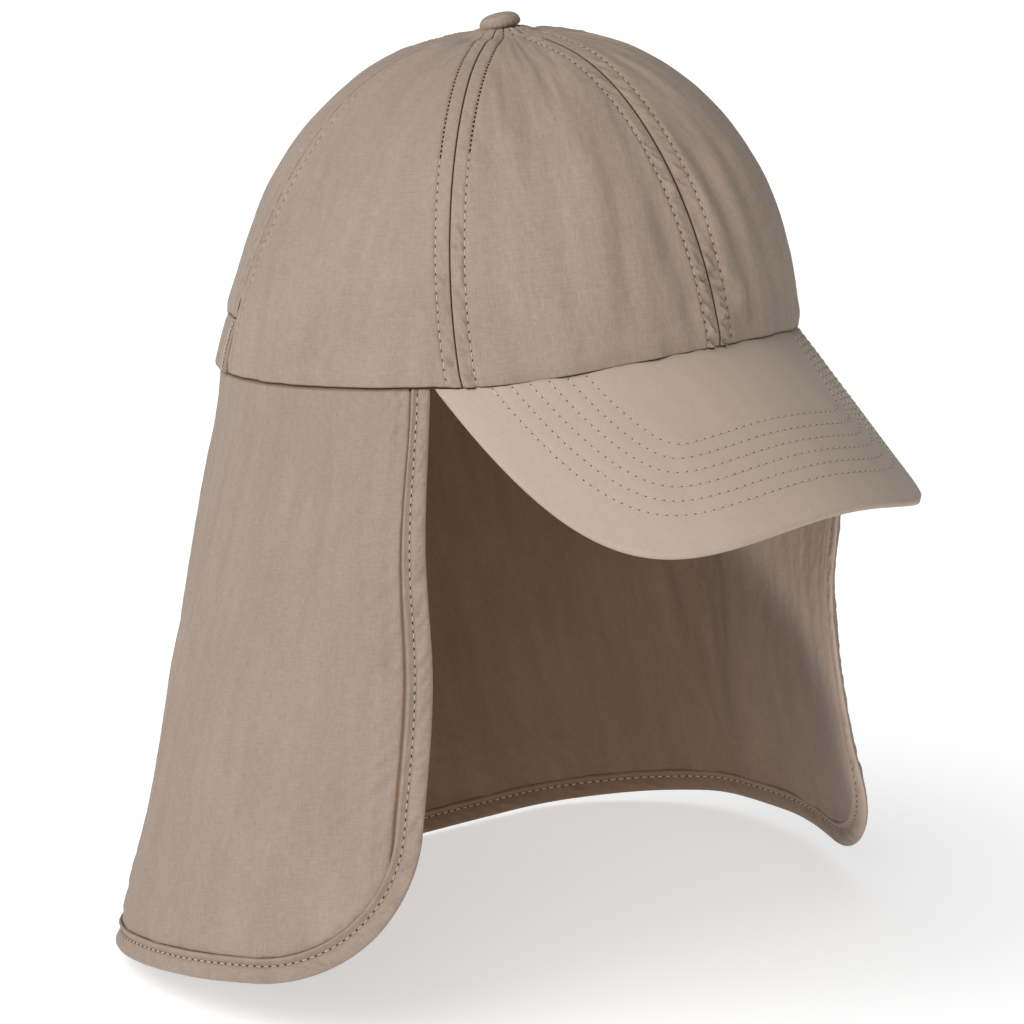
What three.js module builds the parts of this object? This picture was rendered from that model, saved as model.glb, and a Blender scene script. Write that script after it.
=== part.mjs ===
// Six-panel sun cap with a stitched peak and a neck cape, in the shape it takes when worn.
// Millimetres, +Z up. The peak points to -Y and the wearer's right is -X.
// The origin is the middle of the head opening, on the plane of the rim.
import * as THREE from 'three';
import { mergeVertices } from 'three/addons/utils/BufferGeometryUtils.js';

// Head opening and crown
const HEAD_LENGTH = 200;
const HEAD_WIDTH = 172;
const RIM_TILT = 7.85;
const CROWN_HEIGHT = 100.7;
const APEX_BACK = 7;
const CROWN_WALL = 1.2;
const SHOULDER_ROUNDNESS = 0.81;
const SIDE_LEAN = 0.1;
const FRONT_SOFTNESS = 0.045;
const SLOPE_ROUNDNESS = 1.295;
const PANEL_SWELL = 6;

// The top under the button leans a little towards the front and the wearer's left
const TOP_LEAN_ASIDE = 2.2;
const TOP_LEAN_FORWARD = 1.9;
const TOP_LEAN_SHARPNESS = 6;

// The elastic draws the crown in behind the rear seams: how far, and between which turns it starts
const BACK_DRAW = 1.5;
const BACK_DRAW_START = 112;
const BACK_DRAW_FULL = 138;

// Seams between neighbouring pieces, and the clearance that they keep
const GAP = 0.3;
const SIDE_SEAM_TURN = 52.9;
const SIDE_SEAM_BOW = 3.2;
const REAR_SEAM_TURN = 118.7;
const REAR_SEAM_BOW = -5.2;

// Peak
const PEAK_HALF_TURN = 58.3;
const PEAK_LENGTH = 53.7;
const PEAK_SLOPE = 36.8;
const PEAK_CROSS_RADIUS = 69.8;
const PEAK_TIGHTENING = 170;
const PEAK_NOSE_FULLNESS = 0.8;
const PEAK_SIDE_FULLNESS = 0.68;
const PEAK_SIDE_TAPER = 0.97;
const PEAK_THICKNESS = 2.6;
const PEAK_SEAM_ALLOWANCE = 2;
const PEAK_CORNER_WIDTH = 3;
const PEAK_CORNER_SHARPNESS = 8;

// Elastic casing at the back
const CASING_HEIGHT = 18;
const CASING_WALL = 2;
const CASING_BULGE = 0.9;
const CASING_GATHERS = 16;
const CASING_GATHER_DEPTH = 0.8;

// Button
const BUTTON_DIAMETER = 14;
const BUTTON_HEIGHT = 4.6;
const BUTTON_LIFT = 0.5;
const BUTTON_EDGE = 0.9;
const BUTTON_SHANK_DIAMETER = 7;
const BUTTON_SHANK_CLEARANCE = 1.5;

// Neck cape and its hem
const CAPE_LENGTH = 183.2;
const CAPE_WALL = 1.2;
const CAPE_INSET = 0.6;
const CAPE_RIGHT_CORNER_RADIUS = 47.4;
const CAPE_LEFT_CORNER_RADIUS = 39.2;
const CAPE_LEFT_CORNER_SAG = 10;
const CAPE_SAG_START = 0.55;
const CAPE_FOLD_DEPTH = 2;
const CAPE_FROM_PEAK = 2;
const HEM_WIDTH = 7.5;
const HEM_THICKNESS = 2.4;
const HEM_CROWNING = 1.3;

// Plan of one side of the cape at even steps down its length. Width is a share of half the
// head's width, back and widestY are shares of half its length, and fullness squares the back
// corners. EdgeX and edgeY move the front edge, as multiples of its place at the rim, and
// edgeTurn turns the cloth there inward, in degrees more than at the rim.
const CAPE_SECTIONS = [
  { width: 1.0, widestY: 0.0, back: 1.0, fullness: 0.552, edgeX: 1.0, edgeY: 1.0, edgeTurn: 0 },
  { width: 1.105, widestY: 0.024, back: 1.02, fullness: 0.58, edgeX: 1.18, edgeY: 1.27, edgeTurn: 5 },
  { width: 1.245, widestY: 0.065, back: 0.965, fullness: 0.625, edgeX: 1.155, edgeY: 1.29, edgeTurn: 9 },
  { width: 1.375, widestY: 0.08, back: 0.886, fullness: 0.7, edgeX: 1.25, edgeY: 1.35, edgeTurn: 2 },
  { width: 1.52, widestY: 0.036, back: 0.834, fullness: 0.81, edgeX: 1.41, edgeY: 1.475, edgeTurn: -18 },
];

// Share of the way from the back middle to the front edge at which the cape is widest.
const CAPE_WIDEST_SHARE = 0.72;

// Soft folds that run down the cape. Side is -1 for the wearer's right and 1 for the left,
// place and width are shares of the way from the back middle to the front edge, level and run
// say where down the cape the fold is deepest and how far it reaches, and depth is a share
// of the fold depth, outward.
const CAPE_FOLDS = [
  { side: -1, place: 0.52, width: 0.07, level: 0.4, run: 0.35, depth: 0.8 },
  { side: -1, place: 0.76, width: 0.06, level: 0.75, run: 0.35, depth: -0.7 },
  { side: 1, place: 0.9, width: 0.05, level: 0.42, run: 0.25, depth: -1.1 },
  { side: 1, place: 0.6, width: 0.07, level: 0.8, run: 0.4, depth: 0.9 },
  { side: 1, place: 0.25, width: 0.08, level: 0.9, run: 0.5, depth: 1 },
  { side: -1, place: 0.2, width: 0.08, level: 0.9, run: 0.5, depth: -1 },
];
const FOLD_START_LEVEL = 0.16;

// The six panels, each between two seams, with the share of the full swell at its middle.
const PANELS = [
  { name: 'crown_panel_front_right', from: 'side_right', to: 'front', swell: 0.1 },
  { name: 'crown_panel_front_left', from: 'front', to: 'side_left', swell: 1 },
  { name: 'crown_panel_side_left', from: 'side_left', to: 'rear_left', swell: 0.12 },
  { name: 'crown_panel_back_left', from: 'rear_left', to: 'back_left', swell: 0.1, aboveCasing: true },
  { name: 'crown_panel_back_right', from: 'back_right', to: 'rear_right', swell: 0.03, aboveCasing: true },
  { name: 'crown_panel_side_right', from: 'rear_right', to: 'side_right', swell: 0.06 },
];

const SEAMS = {
  front: { turn: 0, bow: 0 },
  side_left: { turn: SIDE_SEAM_TURN, bow: SIDE_SEAM_BOW },
  side_right: { turn: -SIDE_SEAM_TURN, bow: -SIDE_SEAM_BOW },
  rear_left: { turn: REAR_SEAM_TURN, bow: REAR_SEAM_BOW },
  rear_right: { turn: -REAR_SEAM_TURN, bow: -REAR_SEAM_BOW },
  back_left: { turn: 180, bow: 0 },
  back_right: { turn: -180, bow: 0 },
};

// How finely each piece is divided
const PANEL_COLUMNS = 10;
const PANEL_ROWS = 15;
const PANEL_ROW_EASE = 1.25;
const PEAK_COLUMNS = 26;
const PEAK_ROWS = 7;
const CASING_COLUMNS_PER_GATHER = 4;
const CASING_ROWS = 3;
const CAPE_HALF_COLUMNS = 17;
const CAPE_CORNER_COLUMNS = 7;
const CAPE_ROWS = 12;
const SLOPE_STEP = 0.01;
const BUTTON_SIDES = 16;
const BUTTON_ROWS = 6;

function lerp(from, to, share) {
  return from + (to - from) * share;
}

function toRadians(degrees) {
  return THREE.MathUtils.degToRad(degrees);
}

function toDegrees(radians) {
  return THREE.MathUtils.radToDeg(radians);
}

const halfLength = HEAD_LENGTH / 2;
const halfWidth = HEAD_WIDTH / 2;
const meanRadius = (halfLength + halfWidth) / 2;
const crownHoleRadius = BUTTON_SHANK_DIAMETER / 2 + BUTTON_SHANK_CLEARANCE;
const holeSpread = crownHoleRadius / meanRadius;
const tiltSlope = Math.tan(toRadians(RIM_TILT));
const peakSlope = Math.tan(toRadians(PEAK_SLOPE));
const apexAboveRimPlane = CROWN_HEIGHT + APEX_BACK * tiltSlope;
const apex = new THREE.Vector3(
  TOP_LEAN_ASIDE,
  APEX_BACK - TOP_LEAN_FORWARD,
  CROWN_HEIGHT + TOP_LEAN_FORWARD * tiltSlope,
);

const fabric = new THREE.MeshStandardMaterial({ color: 0xad9a87, roughness: 0.85, metalness: 0 });
const peakFabric = new THREE.MeshStandardMaterial({ color: 0xb5a391, roughness: 0.8, metalness: 0 });
const hemFabric = new THREE.MeshStandardMaterial({ color: 0xa3917e, roughness: 0.85, metalness: 0 });

// Height of the tilted rim plane at a place in plan.
function rimPlane(y) {
  return -y * tiltSlope;
}

function rimPlan(turn, inset = 0) {
  const angle = toRadians(turn);
  return {
    x: (halfWidth - inset) * Math.sin(angle),
    y: -(halfLength - inset) * Math.cos(angle),
  };
}

// How far the peak drops across its width, away from the middle.
function peakCrossDrop(x) {
  return (x * x / (2 * PEAK_CROSS_RADIUS)) * (1 + (x / PEAK_TIGHTENING) ** 2);
}

const peakCorner = rimPlan(PEAK_HALF_TURN);
const peakRootHeight = rimPlane(peakCorner.y)
  - (peakCorner.y + halfLength) * peakSlope + peakCrossDrop(peakCorner.x);

function peakTop(x, y) {
  return peakRootHeight + (y + halfLength) * peakSlope - peakCrossDrop(x);
}

// The rim follows the tilted plane, and arches up over the root of the peak.
function rimHeight(turn) {
  const place = rimPlan(turn);
  return Math.abs(turn) < PEAK_HALF_TURN ? peakTop(place.x, place.y) : rimPlane(place.y);
}

// Share of the crown's rise at which its wall is a given height above the rim plane.
function riseAtHeight(height) {
  const share = height / apexAboveRimPlane;
  return Math.asin(share ** (1 / SLOPE_ROUNDNESS)) * 2 / Math.PI;
}

function shoulder(turn) {
  const angle = toRadians(turn);
  return SHOULDER_ROUNDNESS - SIDE_LEAN * Math.sin(angle) + FRONT_SOFTNESS * Math.cos(angle);
}

// Share of the crown's rise at which it meets the hole under the button.
function riseAtHole(turn) {
  return Math.acos(holeSpread ** (1 / shoulder(turn))) * 2 / Math.PI;
}

// How far the elastic draws the crown in. It fades out halfway up the crown.
function backDraw(turn, rise) {
  const behind = THREE.MathUtils.smoothstep(Math.abs(turn), BACK_DRAW_START, BACK_DRAW_FULL);
  return BACK_DRAW * behind * Math.max(Math.sin(2 * Math.PI * rise), 0);
}

// A point on the crown's outer face. Turn is the angle from the front, rise runs from
// 0 at the rim to 1 at the apex, and swell pushes the point outward.
function crownPoint(turn, rise, swell = 0) {
  const climb = rise * Math.PI / 2;
  const spread = Math.max(Math.cos(climb), 0) ** shoulder(turn);
  const lift = Math.sin(climb) ** SLOPE_ROUNDNESS;
  const rim = rimPlan(turn);
  const angle = toRadians(turn);
  const lean = Math.min((1 - spread) / (1 - holeSpread), 1) ** TOP_LEAN_SHARPNESS;
  const outward = swell - backDraw(turn, rise);
  const x = rim.x * spread + TOP_LEAN_ASIDE * lean + outward * Math.sin(angle);
  const y = rim.y * spread + APEX_BACK * lift - TOP_LEAN_FORWARD * lean - outward * Math.cos(angle);
  const arch = rimHeight(turn) - rimPlane(rim.y);
  return new THREE.Vector3(x, y, rimPlane(y) + arch * (1 - lift) + apexAboveRimPlane * lift);
}

function seamTurn(seam, rise) {
  return seam.turn + seam.bow * Math.sin(Math.PI * rise);
}

// Angle that half of the clearance takes up beside a seam at a given rise.
function clearanceTurn(turn, rise) {
  const climb = rise * Math.PI / 2;
  const radius = meanRadius * Math.cos(climb) ** shoulder(turn);
  return toDegrees(GAP / 2 / radius);
}

// Closed wall between an outer face, given as a grid of points, and the same face moved inward.
// The way outward is worked out from the grid, unless a function for it is given.
function wallGeometry(columns, rows, outerPoint, thickness, outwardAt = null) {
  const outer = [];
  for (let row = 0; row <= rows; row += 1) {
    for (let column = 0; column <= columns; column += 1) {
      outer.push(outerPoint(column / columns, row / rows, column, row));
    }
  }
  const at = (column, row) => row * (columns + 1) + column;
  const inner = outer.map((point, index) => {
    const column = index % (columns + 1);
    const row = Math.floor(index / (columns + 1));
    if (outwardAt) {
      return point.clone().addScaledVector(outwardAt(column, row), -thickness);
    }
    const along = outer[at(Math.min(column + 1, columns), row)].clone()
      .sub(outer[at(Math.max(column - 1, 0), row)]);
    const up = outer[at(column, Math.min(row + 1, rows))].clone()
      .sub(outer[at(column, Math.max(row - 1, 0))]);
    const normal = along.cross(up).normalize();
    return point.clone().addScaledVector(normal, -thickness);
  });
  const points = [...outer, ...inner];
  const innerStart = outer.length;
  const triangles = [];
  const quad = (a, b, c, d) => triangles.push(a, b, c, a, c, d);
  for (let row = 0; row < rows; row += 1) {
    for (let column = 0; column < columns; column += 1) {
      const a = at(column, row);
      const b = at(column + 1, row);
      const c = at(column + 1, row + 1);
      const d = at(column, row + 1);
      quad(a, b, c, d);
      quad(innerStart + d, innerStart + c, innerStart + b, innerStart + a);
    }
  }
  for (let column = 0; column < columns; column += 1) {
    const low = at(column, 0);
    const lowNext = at(column + 1, 0);
    quad(innerStart + low, innerStart + lowNext, lowNext, low);
    const high = at(column, rows);
    const highNext = at(column + 1, rows);
    quad(high, highNext, innerStart + highNext, innerStart + high);
  }
  for (let row = 0; row < rows; row += 1) {
    const start = at(0, row);
    const startNext = at(0, row + 1);
    quad(start, startNext, innerStart + startNext, innerStart + start);
    const end = at(columns, row);
    const endNext = at(columns, row + 1);
    quad(innerStart + end, innerStart + endNext, endNext, end);
  }
  return solidGeometry(points, triangles);
}

function solidGeometry(points, triangles) {
  const geometry = new THREE.BufferGeometry();
  const positions = points.flatMap((point) => [point.x, point.y, point.z]);
  geometry.setAttribute('position', new THREE.Float32BufferAttribute(positions, 3));
  geometry.setIndex(triangles);
  geometry.computeVertexNormals();
  return geometry;
}

function namedMesh(name, geometry, material) {
  const mesh = new THREE.Mesh(geometry, material);
  mesh.name = name;
  return mesh;
}

// One of the six panels, a wall between two seams from the rim to the hole under the button.
function crownPanel(panel) {
  const from = SEAMS[panel.from];
  const to = SEAMS[panel.to];
  const base = riseAtHeight(panel.aboveCasing ? CASING_HEIGHT + 2 * GAP : GAP);
  const geometry = wallGeometry(PANEL_COLUMNS, PANEL_ROWS, (across, up) => {
    const middle = (from.turn + to.turn) / 2;
    const easedUp = 1 - (1 - up) ** PANEL_ROW_EASE;
    const roughRise = lerp(base, riseAtHole(middle), easedUp);
    const start = seamTurn(from, roughRise);
    const end = seamTurn(to, roughRise);
    const turn = lerp(
      start + clearanceTurn(start, roughRise),
      end - clearanceTurn(end, roughRise),
      across,
    );
    const rise = lerp(base, riseAtHole(turn), easedUp);
    const swell = PANEL_SWELL * panel.swell * Math.sin(Math.PI * across) * Math.sin(Math.PI * rise);
    return crownPoint(turn, rise, swell);
  }, CROWN_WALL);
  return namedMesh(panel.name, geometry, fabric);
}

// Gathered band that holds the elastic, below the two back panels.
function backElasticCasing() {
  const columns = CASING_GATHERS * CASING_COLUMNS_PER_GATHER;
  const geometry = wallGeometry(columns, CASING_ROWS, (across, up) => {
    const rise = riseAtHeight(lerp(GAP, CASING_HEIGHT + GAP, up));
    const edge = 360 - REAR_SEAM_TURN - clearanceTurn(REAR_SEAM_TURN, 0);
    const turn = lerp(REAR_SEAM_TURN + clearanceTurn(REAR_SEAM_TURN, 0), edge, across)
      + lerp(REAR_SEAM_BOW, -REAR_SEAM_BOW, across) * Math.sin(Math.PI * rise);
    const gather = (1 - Math.cos(2 * Math.PI * CASING_GATHERS * across)) / 2;
    const bulge = Math.sin(Math.PI * up) * (CASING_BULGE + CASING_GATHER_DEPTH * gather);
    return crownPoint(turn > 180 ? turn - 360 : turn, rise, bulge);
  }, CASING_WALL);
  return namedMesh('back_elastic_casing', geometry, fabric);
}

// Outline of the peak's free edge, from its right corner round the nose to its left corner.
function peakOutline(share) {
  const nose = -(halfLength + PEAK_LENGTH);
  const sideHandle = PEAK_SIDE_FULLNESS * (peakCorner.y - nose);
  const half = new THREE.CubicBezierCurve(
    new THREE.Vector2(0, nose),
    new THREE.Vector2(peakCorner.x * PEAK_NOSE_FULLNESS, nose),
    new THREE.Vector2(peakCorner.x * PEAK_SIDE_TAPER, peakCorner.y - sideHandle),
    new THREE.Vector2(peakCorner.x, peakCorner.y),
  );
  const signed = share * 2 - 1;
  const point = half.getPointAt(Math.abs(signed));
  return { x: Math.sign(signed) * point.x, y: point.y };
}

// The peak is one curved board. Its root is tucked level under the front panels.
function peak() {
  const geometry = wallGeometry(PEAK_COLUMNS, PEAK_ROWS, (across, up, column, row) => {
    const turn = lerp(-PEAK_HALF_TURN, PEAK_HALF_TURN, across);
    if (row === PEAK_ROWS) {
      const root = rimPlan(turn, PEAK_SEAM_ALLOWANCE);
      return new THREE.Vector3(root.x, root.y, rimHeight(turn));
    }
    const rim = rimPlan(turn);
    const edge = peakOutline(across);
    const out = 1 - row / (PEAK_ROWS - 1);
    const cornerNearness = Math.abs(across * 2 - 1) ** PEAK_CORNER_SHARPNESS;
    const x = lerp(rim.x, edge.x, out);
    const y = lerp(rim.y, edge.y, out) - PEAK_CORNER_WIDTH * out * cornerNearness;
    return new THREE.Vector3(x, y, peakTop(x, y));
  }, PEAK_THICKNESS);
  return namedMesh('peak', geometry, peakFabric);
}

// Smooth value of one column of a table whose rows stand at even steps.
function tableValue(rows, key, share) {
  const scaled = THREE.MathUtils.clamp(share, 0, 1) * (rows.length - 1);
  const index = Math.min(Math.floor(scaled), rows.length - 2);
  const before = rows[Math.max(index - 1, 0)][key];
  const start = rows[index][key];
  const end = rows[index + 1][key];
  const after = rows[Math.min(index + 2, rows.length - 1)][key];
  const part = scaled - index;
  const curve = new THREE.SplineCurve([
    new THREE.Vector2(before, 0),
    new THREE.Vector2(start, 0),
    new THREE.Vector2(end, 0),
    new THREE.Vector2(after, 0),
  ]);
  return curve.getPoint((1 + part) / 3).x;
}

// Where the cape's front edge leaves the rim, just behind the peak's corner.
const capeEdgeTurn = PEAK_HALF_TURN + toDegrees(CAPE_FROM_PEAK / meanRadius);
const capeEdge = rimPlan(capeEdgeTurn, CAPE_INSET);
const rimTurnAtEdge = Math.atan2(
  halfWidth * Math.cos(toRadians(capeEdgeTurn)),
  halfLength * Math.sin(toRadians(capeEdgeTurn)),
);

// Plan of one side of the cape at a level, from the back middle to the front edge.
function capePlan(level, share) {
  const width = tableValue(CAPE_SECTIONS, 'width', level) * halfWidth - CAPE_INSET;
  const back = tableValue(CAPE_SECTIONS, 'back', level) * halfLength - CAPE_INSET;
  const widestY = tableValue(CAPE_SECTIONS, 'widestY', level) * halfLength;
  const widest = new THREE.Vector2(width, widestY);
  if (share < CAPE_WIDEST_SHARE) {
    const fullness = tableValue(CAPE_SECTIONS, 'fullness', level);
    const curve = new THREE.CubicBezierCurve(
      new THREE.Vector2(0, back),
      new THREE.Vector2(width * fullness, back),
      new THREE.Vector2(width, lerp(widestY, back, fullness)),
      widest,
    );
    return curve.getPoint(share / CAPE_WIDEST_SHARE);
  }
  const edgeX = tableValue(CAPE_SECTIONS, 'edgeX', level) * capeEdge.x;
  const edgeY = tableValue(CAPE_SECTIONS, 'edgeY', level) * capeEdge.y;
  const turn = rimTurnAtEdge + toRadians(tableValue(CAPE_SECTIONS, 'edgeTurn', level));
  const handle = (widestY - edgeY) / 3;
  const curve = new THREE.CubicBezierCurve(
    widest,
    new THREE.Vector2(width, widestY - handle),
    new THREE.Vector2(edgeX + handle * Math.sin(turn), edgeY + handle * Math.cos(turn)),
    new THREE.Vector2(edgeX, edgeY),
  );
  return curve.getPoint((share - CAPE_WIDEST_SHARE) / (1 - CAPE_WIDEST_SHARE));
}

// A point on the cape's outer face. Along runs from -1 at the right front edge, through the
// back middle, to 1 at the left front edge, and level from 0 at the rim to 1 at the hem.
function capePoint(along, level) {
  const side = along < 0 ? -1 : 1;
  const share = Math.abs(along);
  const here = capePlan(level, share);
  const ahead = capePlan(level, Math.min(share + SLOPE_STEP, 1));
  const behind = capePlan(level, Math.max(share - SLOPE_STEP, 0));
  const outward = new THREE.Vector2(behind.y - ahead.y, ahead.x - behind.x).normalize();
  let fold = 0;
  for (const row of CAPE_FOLDS) {
    const across = (along - row.side * row.place) / row.width;
    const down = (level - row.level) / row.run;
    fold += CAPE_FOLD_DEPTH * row.depth * Math.exp(-across * across - down * down);
  }
  fold *= Math.min(level / FOLD_START_LEVEL, 1);
  const x = side * (here.x + outward.x * fold);
  const y = here.y + outward.y * fold;
  const cornerNearness = THREE.MathUtils.smoothstep(share, CAPE_SAG_START, 1);
  const sag = side > 0 ? CAPE_LEFT_CORNER_SAG * level * cornerNearness : 0;
  return new THREE.Vector3(x, y, rimPlane(y) - level * CAPE_LENGTH - sag);
}

function capeNormal(along, level) {
  const across = capePoint(Math.min(along + SLOPE_STEP, 1), level)
    .sub(capePoint(Math.max(along - SLOPE_STEP, -1), level));
  const up = capePoint(along, Math.max(level - SLOPE_STEP, 0))
    .sub(capePoint(along, Math.min(level + SLOPE_STEP, 1)));
  return up.cross(across).normalize();
}

// Length of the lower edge of each side, which its round corner is measured along.
function hemLength(side) {
  const steps = 40;
  let length = 0;
  let last = capePoint(0, 1);
  for (let step = 1; step <= steps; step += 1) {
    const next = capePoint(side * step / steps, 1);
    length += next.distanceTo(last);
    last = next;
  }
  return length;
}

const CAPE_SIDES = [
  { sign: -1, radius: CAPE_RIGHT_CORNER_RADIUS, hemLength: hemLength(-1) },
  { sign: 1, radius: CAPE_LEFT_CORNER_RADIUS, hemLength: hemLength(1) },
];

// A place on the cape's round corner, or on a line that runs inside it. The angle is 90
// degrees where the corner meets the lower edge and 0 where it meets the front edge.
function capeCorner(side, angle, inset) {
  const radius = side.radius - inset;
  return {
    along: side.sign * (1 - (side.radius - radius * Math.cos(toRadians(angle))) / side.hemLength),
    level: 1 - (side.radius - radius * Math.sin(toRadians(angle))) / CAPE_LENGTH,
  };
}

// Lowest point of each column of one side of the cape, from the back middle to the front edge.
function capeColumns(side, inset) {
  const columns = [];
  const straight = 1 - side.radius / side.hemLength;
  for (let step = 0; step < CAPE_HALF_COLUMNS; step += 1) {
    columns.push({
      along: side.sign * straight * step / CAPE_HALF_COLUMNS,
      level: 1 - inset / CAPE_LENGTH,
    });
  }
  for (let step = 0; step <= CAPE_CORNER_COLUMNS; step += 1) {
    columns.push(capeCorner(side, 90 - 90 * step / CAPE_CORNER_COLUMNS, inset));
  }
  return columns;
}

function bothSides(oneSide) {
  const [right, left] = CAPE_SIDES.map(oneSide);
  return [...left.slice(1).reverse(), ...right];
}

function neckCape() {
  const columns = bothSides((side) => capeColumns(side, HEM_WIDTH + GAP));
  const geometry = wallGeometry(columns.length - 1, CAPE_ROWS, (across, up, index) => {
    const column = columns[index];
    return capePoint(column.along, column.level * (1 - up));
  }, CAPE_WALL, (index, row) => {
    const column = columns[index];
    return capeNormal(column.along, column.level * (1 - row / CAPE_ROWS));
  });
  return namedMesh('neck_cape', geometry, fabric);
}

// A line along the cape's free edge, from the rim down the front edge, round the corner and
// along the bottom to the back middle, then the same on the other side.
function hemPath(inset) {
  return bothSides((side) => {
    const path = capeColumns(side, inset);
    const corner = path[path.length - 1];
    for (let step = 1; step <= CAPE_ROWS; step += 1) {
      path.push({ along: corner.along, level: corner.level * (1 - step / CAPE_ROWS) });
    }
    return path;
  });
}

// The stitched hem, a thicker band all along the free edge.
function capeHem() {
  const lines = [
    { path: hemPath(0), proud: 1 },
    { path: hemPath(HEM_WIDTH / 2), proud: HEM_CROWNING },
    { path: hemPath(HEM_WIDTH), proud: 1 },
  ];
  const stations = lines[0].path.length;
  const geometry = wallGeometry(stations - 1, lines.length - 1, (across, up, index, row) => {
    const line = lines[row];
    const place = line.path[index];
    const proud = (HEM_THICKNESS - CAPE_WALL) / 2 * line.proud;
    return capePoint(place.along, place.level)
      .addScaledVector(capeNormal(place.along, place.level), proud);
  }, HEM_THICKNESS, (index, row) => {
    const place = lines[row].path[index];
    return capeNormal(place.along, place.level);
  });
  return namedMesh('cape_hem', geometry, hemFabric);
}

// Cloth-covered button, a dome on a short shank that fills the hole in the crown.
function button() {
  const radius = BUTTON_DIAMETER / 2;
  const shankRadius = BUTTON_SHANK_DIAMETER / 2;
  const profile = [
    new THREE.Vector2(0, -CROWN_WALL),
    new THREE.Vector2(shankRadius, -CROWN_WALL),
    new THREE.Vector2(shankRadius, BUTTON_LIFT),
    new THREE.Vector2(radius - BUTTON_EDGE / 2, BUTTON_LIFT),
  ];
  for (let row = 0; row < BUTTON_ROWS; row += 1) {
    const angle = Math.PI / 2 * row / BUTTON_ROWS;
    const height = BUTTON_LIFT + BUTTON_EDGE + (BUTTON_HEIGHT - BUTTON_EDGE) * Math.sin(angle);
    profile.push(new THREE.Vector2(radius * Math.cos(angle), height));
  }
  profile.push(new THREE.Vector2(0, BUTTON_LIFT + BUTTON_HEIGHT));
  const geometry = new THREE.LatheGeometry(profile, BUTTON_SIDES);
  geometry.deleteAttribute('normal');
  geometry.deleteAttribute('uv');
  const mesh = namedMesh('button', mergeVertices(geometry, 1e-4), fabric);
  mesh.rotation.x = Math.PI / 2 - toRadians(RIM_TILT);
  mesh.position.copy(apex);
  return mesh;
}

const cap = new THREE.Group();
cap.name = 'six_panel_cap';
for (const panel of PANELS) {
  cap.add(crownPanel(panel));
}
cap.add(backElasticCasing(), button(), peak(), neckCape(), capeHem());

export default cap;
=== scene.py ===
"""A six-panel sun cap with a stitched peak and a long neck cape, sewn from fine tan cloth.

Sizes are in millimetres and angles in degrees, and a mesh is scaled to metres when it is made.
+Z is up, the peak points to -Y and the wearer's right is -X.
"""

import math
import random

import bpy
import numpy as np
from mathutils import Matrix, Vector, noise


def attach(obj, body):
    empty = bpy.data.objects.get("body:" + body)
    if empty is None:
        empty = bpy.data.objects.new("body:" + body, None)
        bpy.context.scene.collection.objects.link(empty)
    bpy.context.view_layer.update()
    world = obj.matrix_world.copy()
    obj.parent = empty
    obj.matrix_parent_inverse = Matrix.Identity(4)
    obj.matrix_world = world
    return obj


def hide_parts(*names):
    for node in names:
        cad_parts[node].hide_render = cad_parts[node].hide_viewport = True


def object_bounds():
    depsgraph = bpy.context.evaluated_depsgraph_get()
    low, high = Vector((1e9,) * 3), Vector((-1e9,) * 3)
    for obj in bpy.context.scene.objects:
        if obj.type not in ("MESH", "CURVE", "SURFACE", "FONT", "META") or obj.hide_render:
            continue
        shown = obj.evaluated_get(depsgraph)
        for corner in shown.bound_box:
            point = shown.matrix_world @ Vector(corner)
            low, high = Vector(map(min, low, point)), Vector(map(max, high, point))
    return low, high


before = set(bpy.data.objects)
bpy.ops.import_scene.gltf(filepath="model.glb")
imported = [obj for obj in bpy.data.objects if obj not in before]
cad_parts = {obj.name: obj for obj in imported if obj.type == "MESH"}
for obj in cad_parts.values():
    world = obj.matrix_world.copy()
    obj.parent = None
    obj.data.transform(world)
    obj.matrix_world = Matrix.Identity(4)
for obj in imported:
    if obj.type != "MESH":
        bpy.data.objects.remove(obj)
cad_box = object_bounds()

MM = 0.001

# Head opening and crown, as in the frame
HALF_LENGTH = 100.0
HALF_WIDTH = 86.0
RIM_SLOPE = math.tan(math.radians(7.85))
CROWN_HEIGHT = 100.7
APEX_BACK = 7.0
SHOULDER_ROUNDNESS = 0.81
SIDE_LEAN = 0.1
FRONT_SOFTNESS = 0.045
SLOPE_ROUNDNESS = 1.295
PANEL_SWELL = 6.0
TOP_LEAN_ASIDE = 2.2
TOP_LEAN_FORWARD = 1.9
TOP_LEAN_SHARPNESS = 6
BACK_DRAW = 1.5
BACK_DRAW_START = 112.0
BACK_DRAW_FULL = 138.0
HOLE_RADIUS = 5.0
GAP = 0.3
MEAN_RADIUS = (HALF_LENGTH + HALF_WIDTH) / 2
HOLE_SPREAD = HOLE_RADIUS / MEAN_RADIUS
APEX_ABOVE_RIM = CROWN_HEIGHT + APEX_BACK * RIM_SLOPE
APEX = (
    TOP_LEAN_ASIDE,
    APEX_BACK - TOP_LEAN_FORWARD,
    CROWN_HEIGHT + TOP_LEAN_FORWARD * RIM_SLOPE,
)

# Peak
PEAK_HALF_TURN = 58.3
PEAK_LENGTH = 53.7
PEAK_SLOPE = math.tan(math.radians(36.8))
PEAK_CROSS_RADIUS = 69.8
PEAK_TIGHTENING = 170.0
PEAK_NOSE_FULLNESS = 0.8
PEAK_SIDE_FULLNESS = 0.68
PEAK_SIDE_TAPER = 0.97
PEAK_THICKNESS = 2.6
PEAK_CORNER_WIDTH = 3.0
PEAK_CORNER_SHARPNESS = 8.0
PEAK_ROW_COUNT = 6
PEAK_ROW_SPACING = 4.85
PEAK_FIRST_ROW = 13.8

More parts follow.
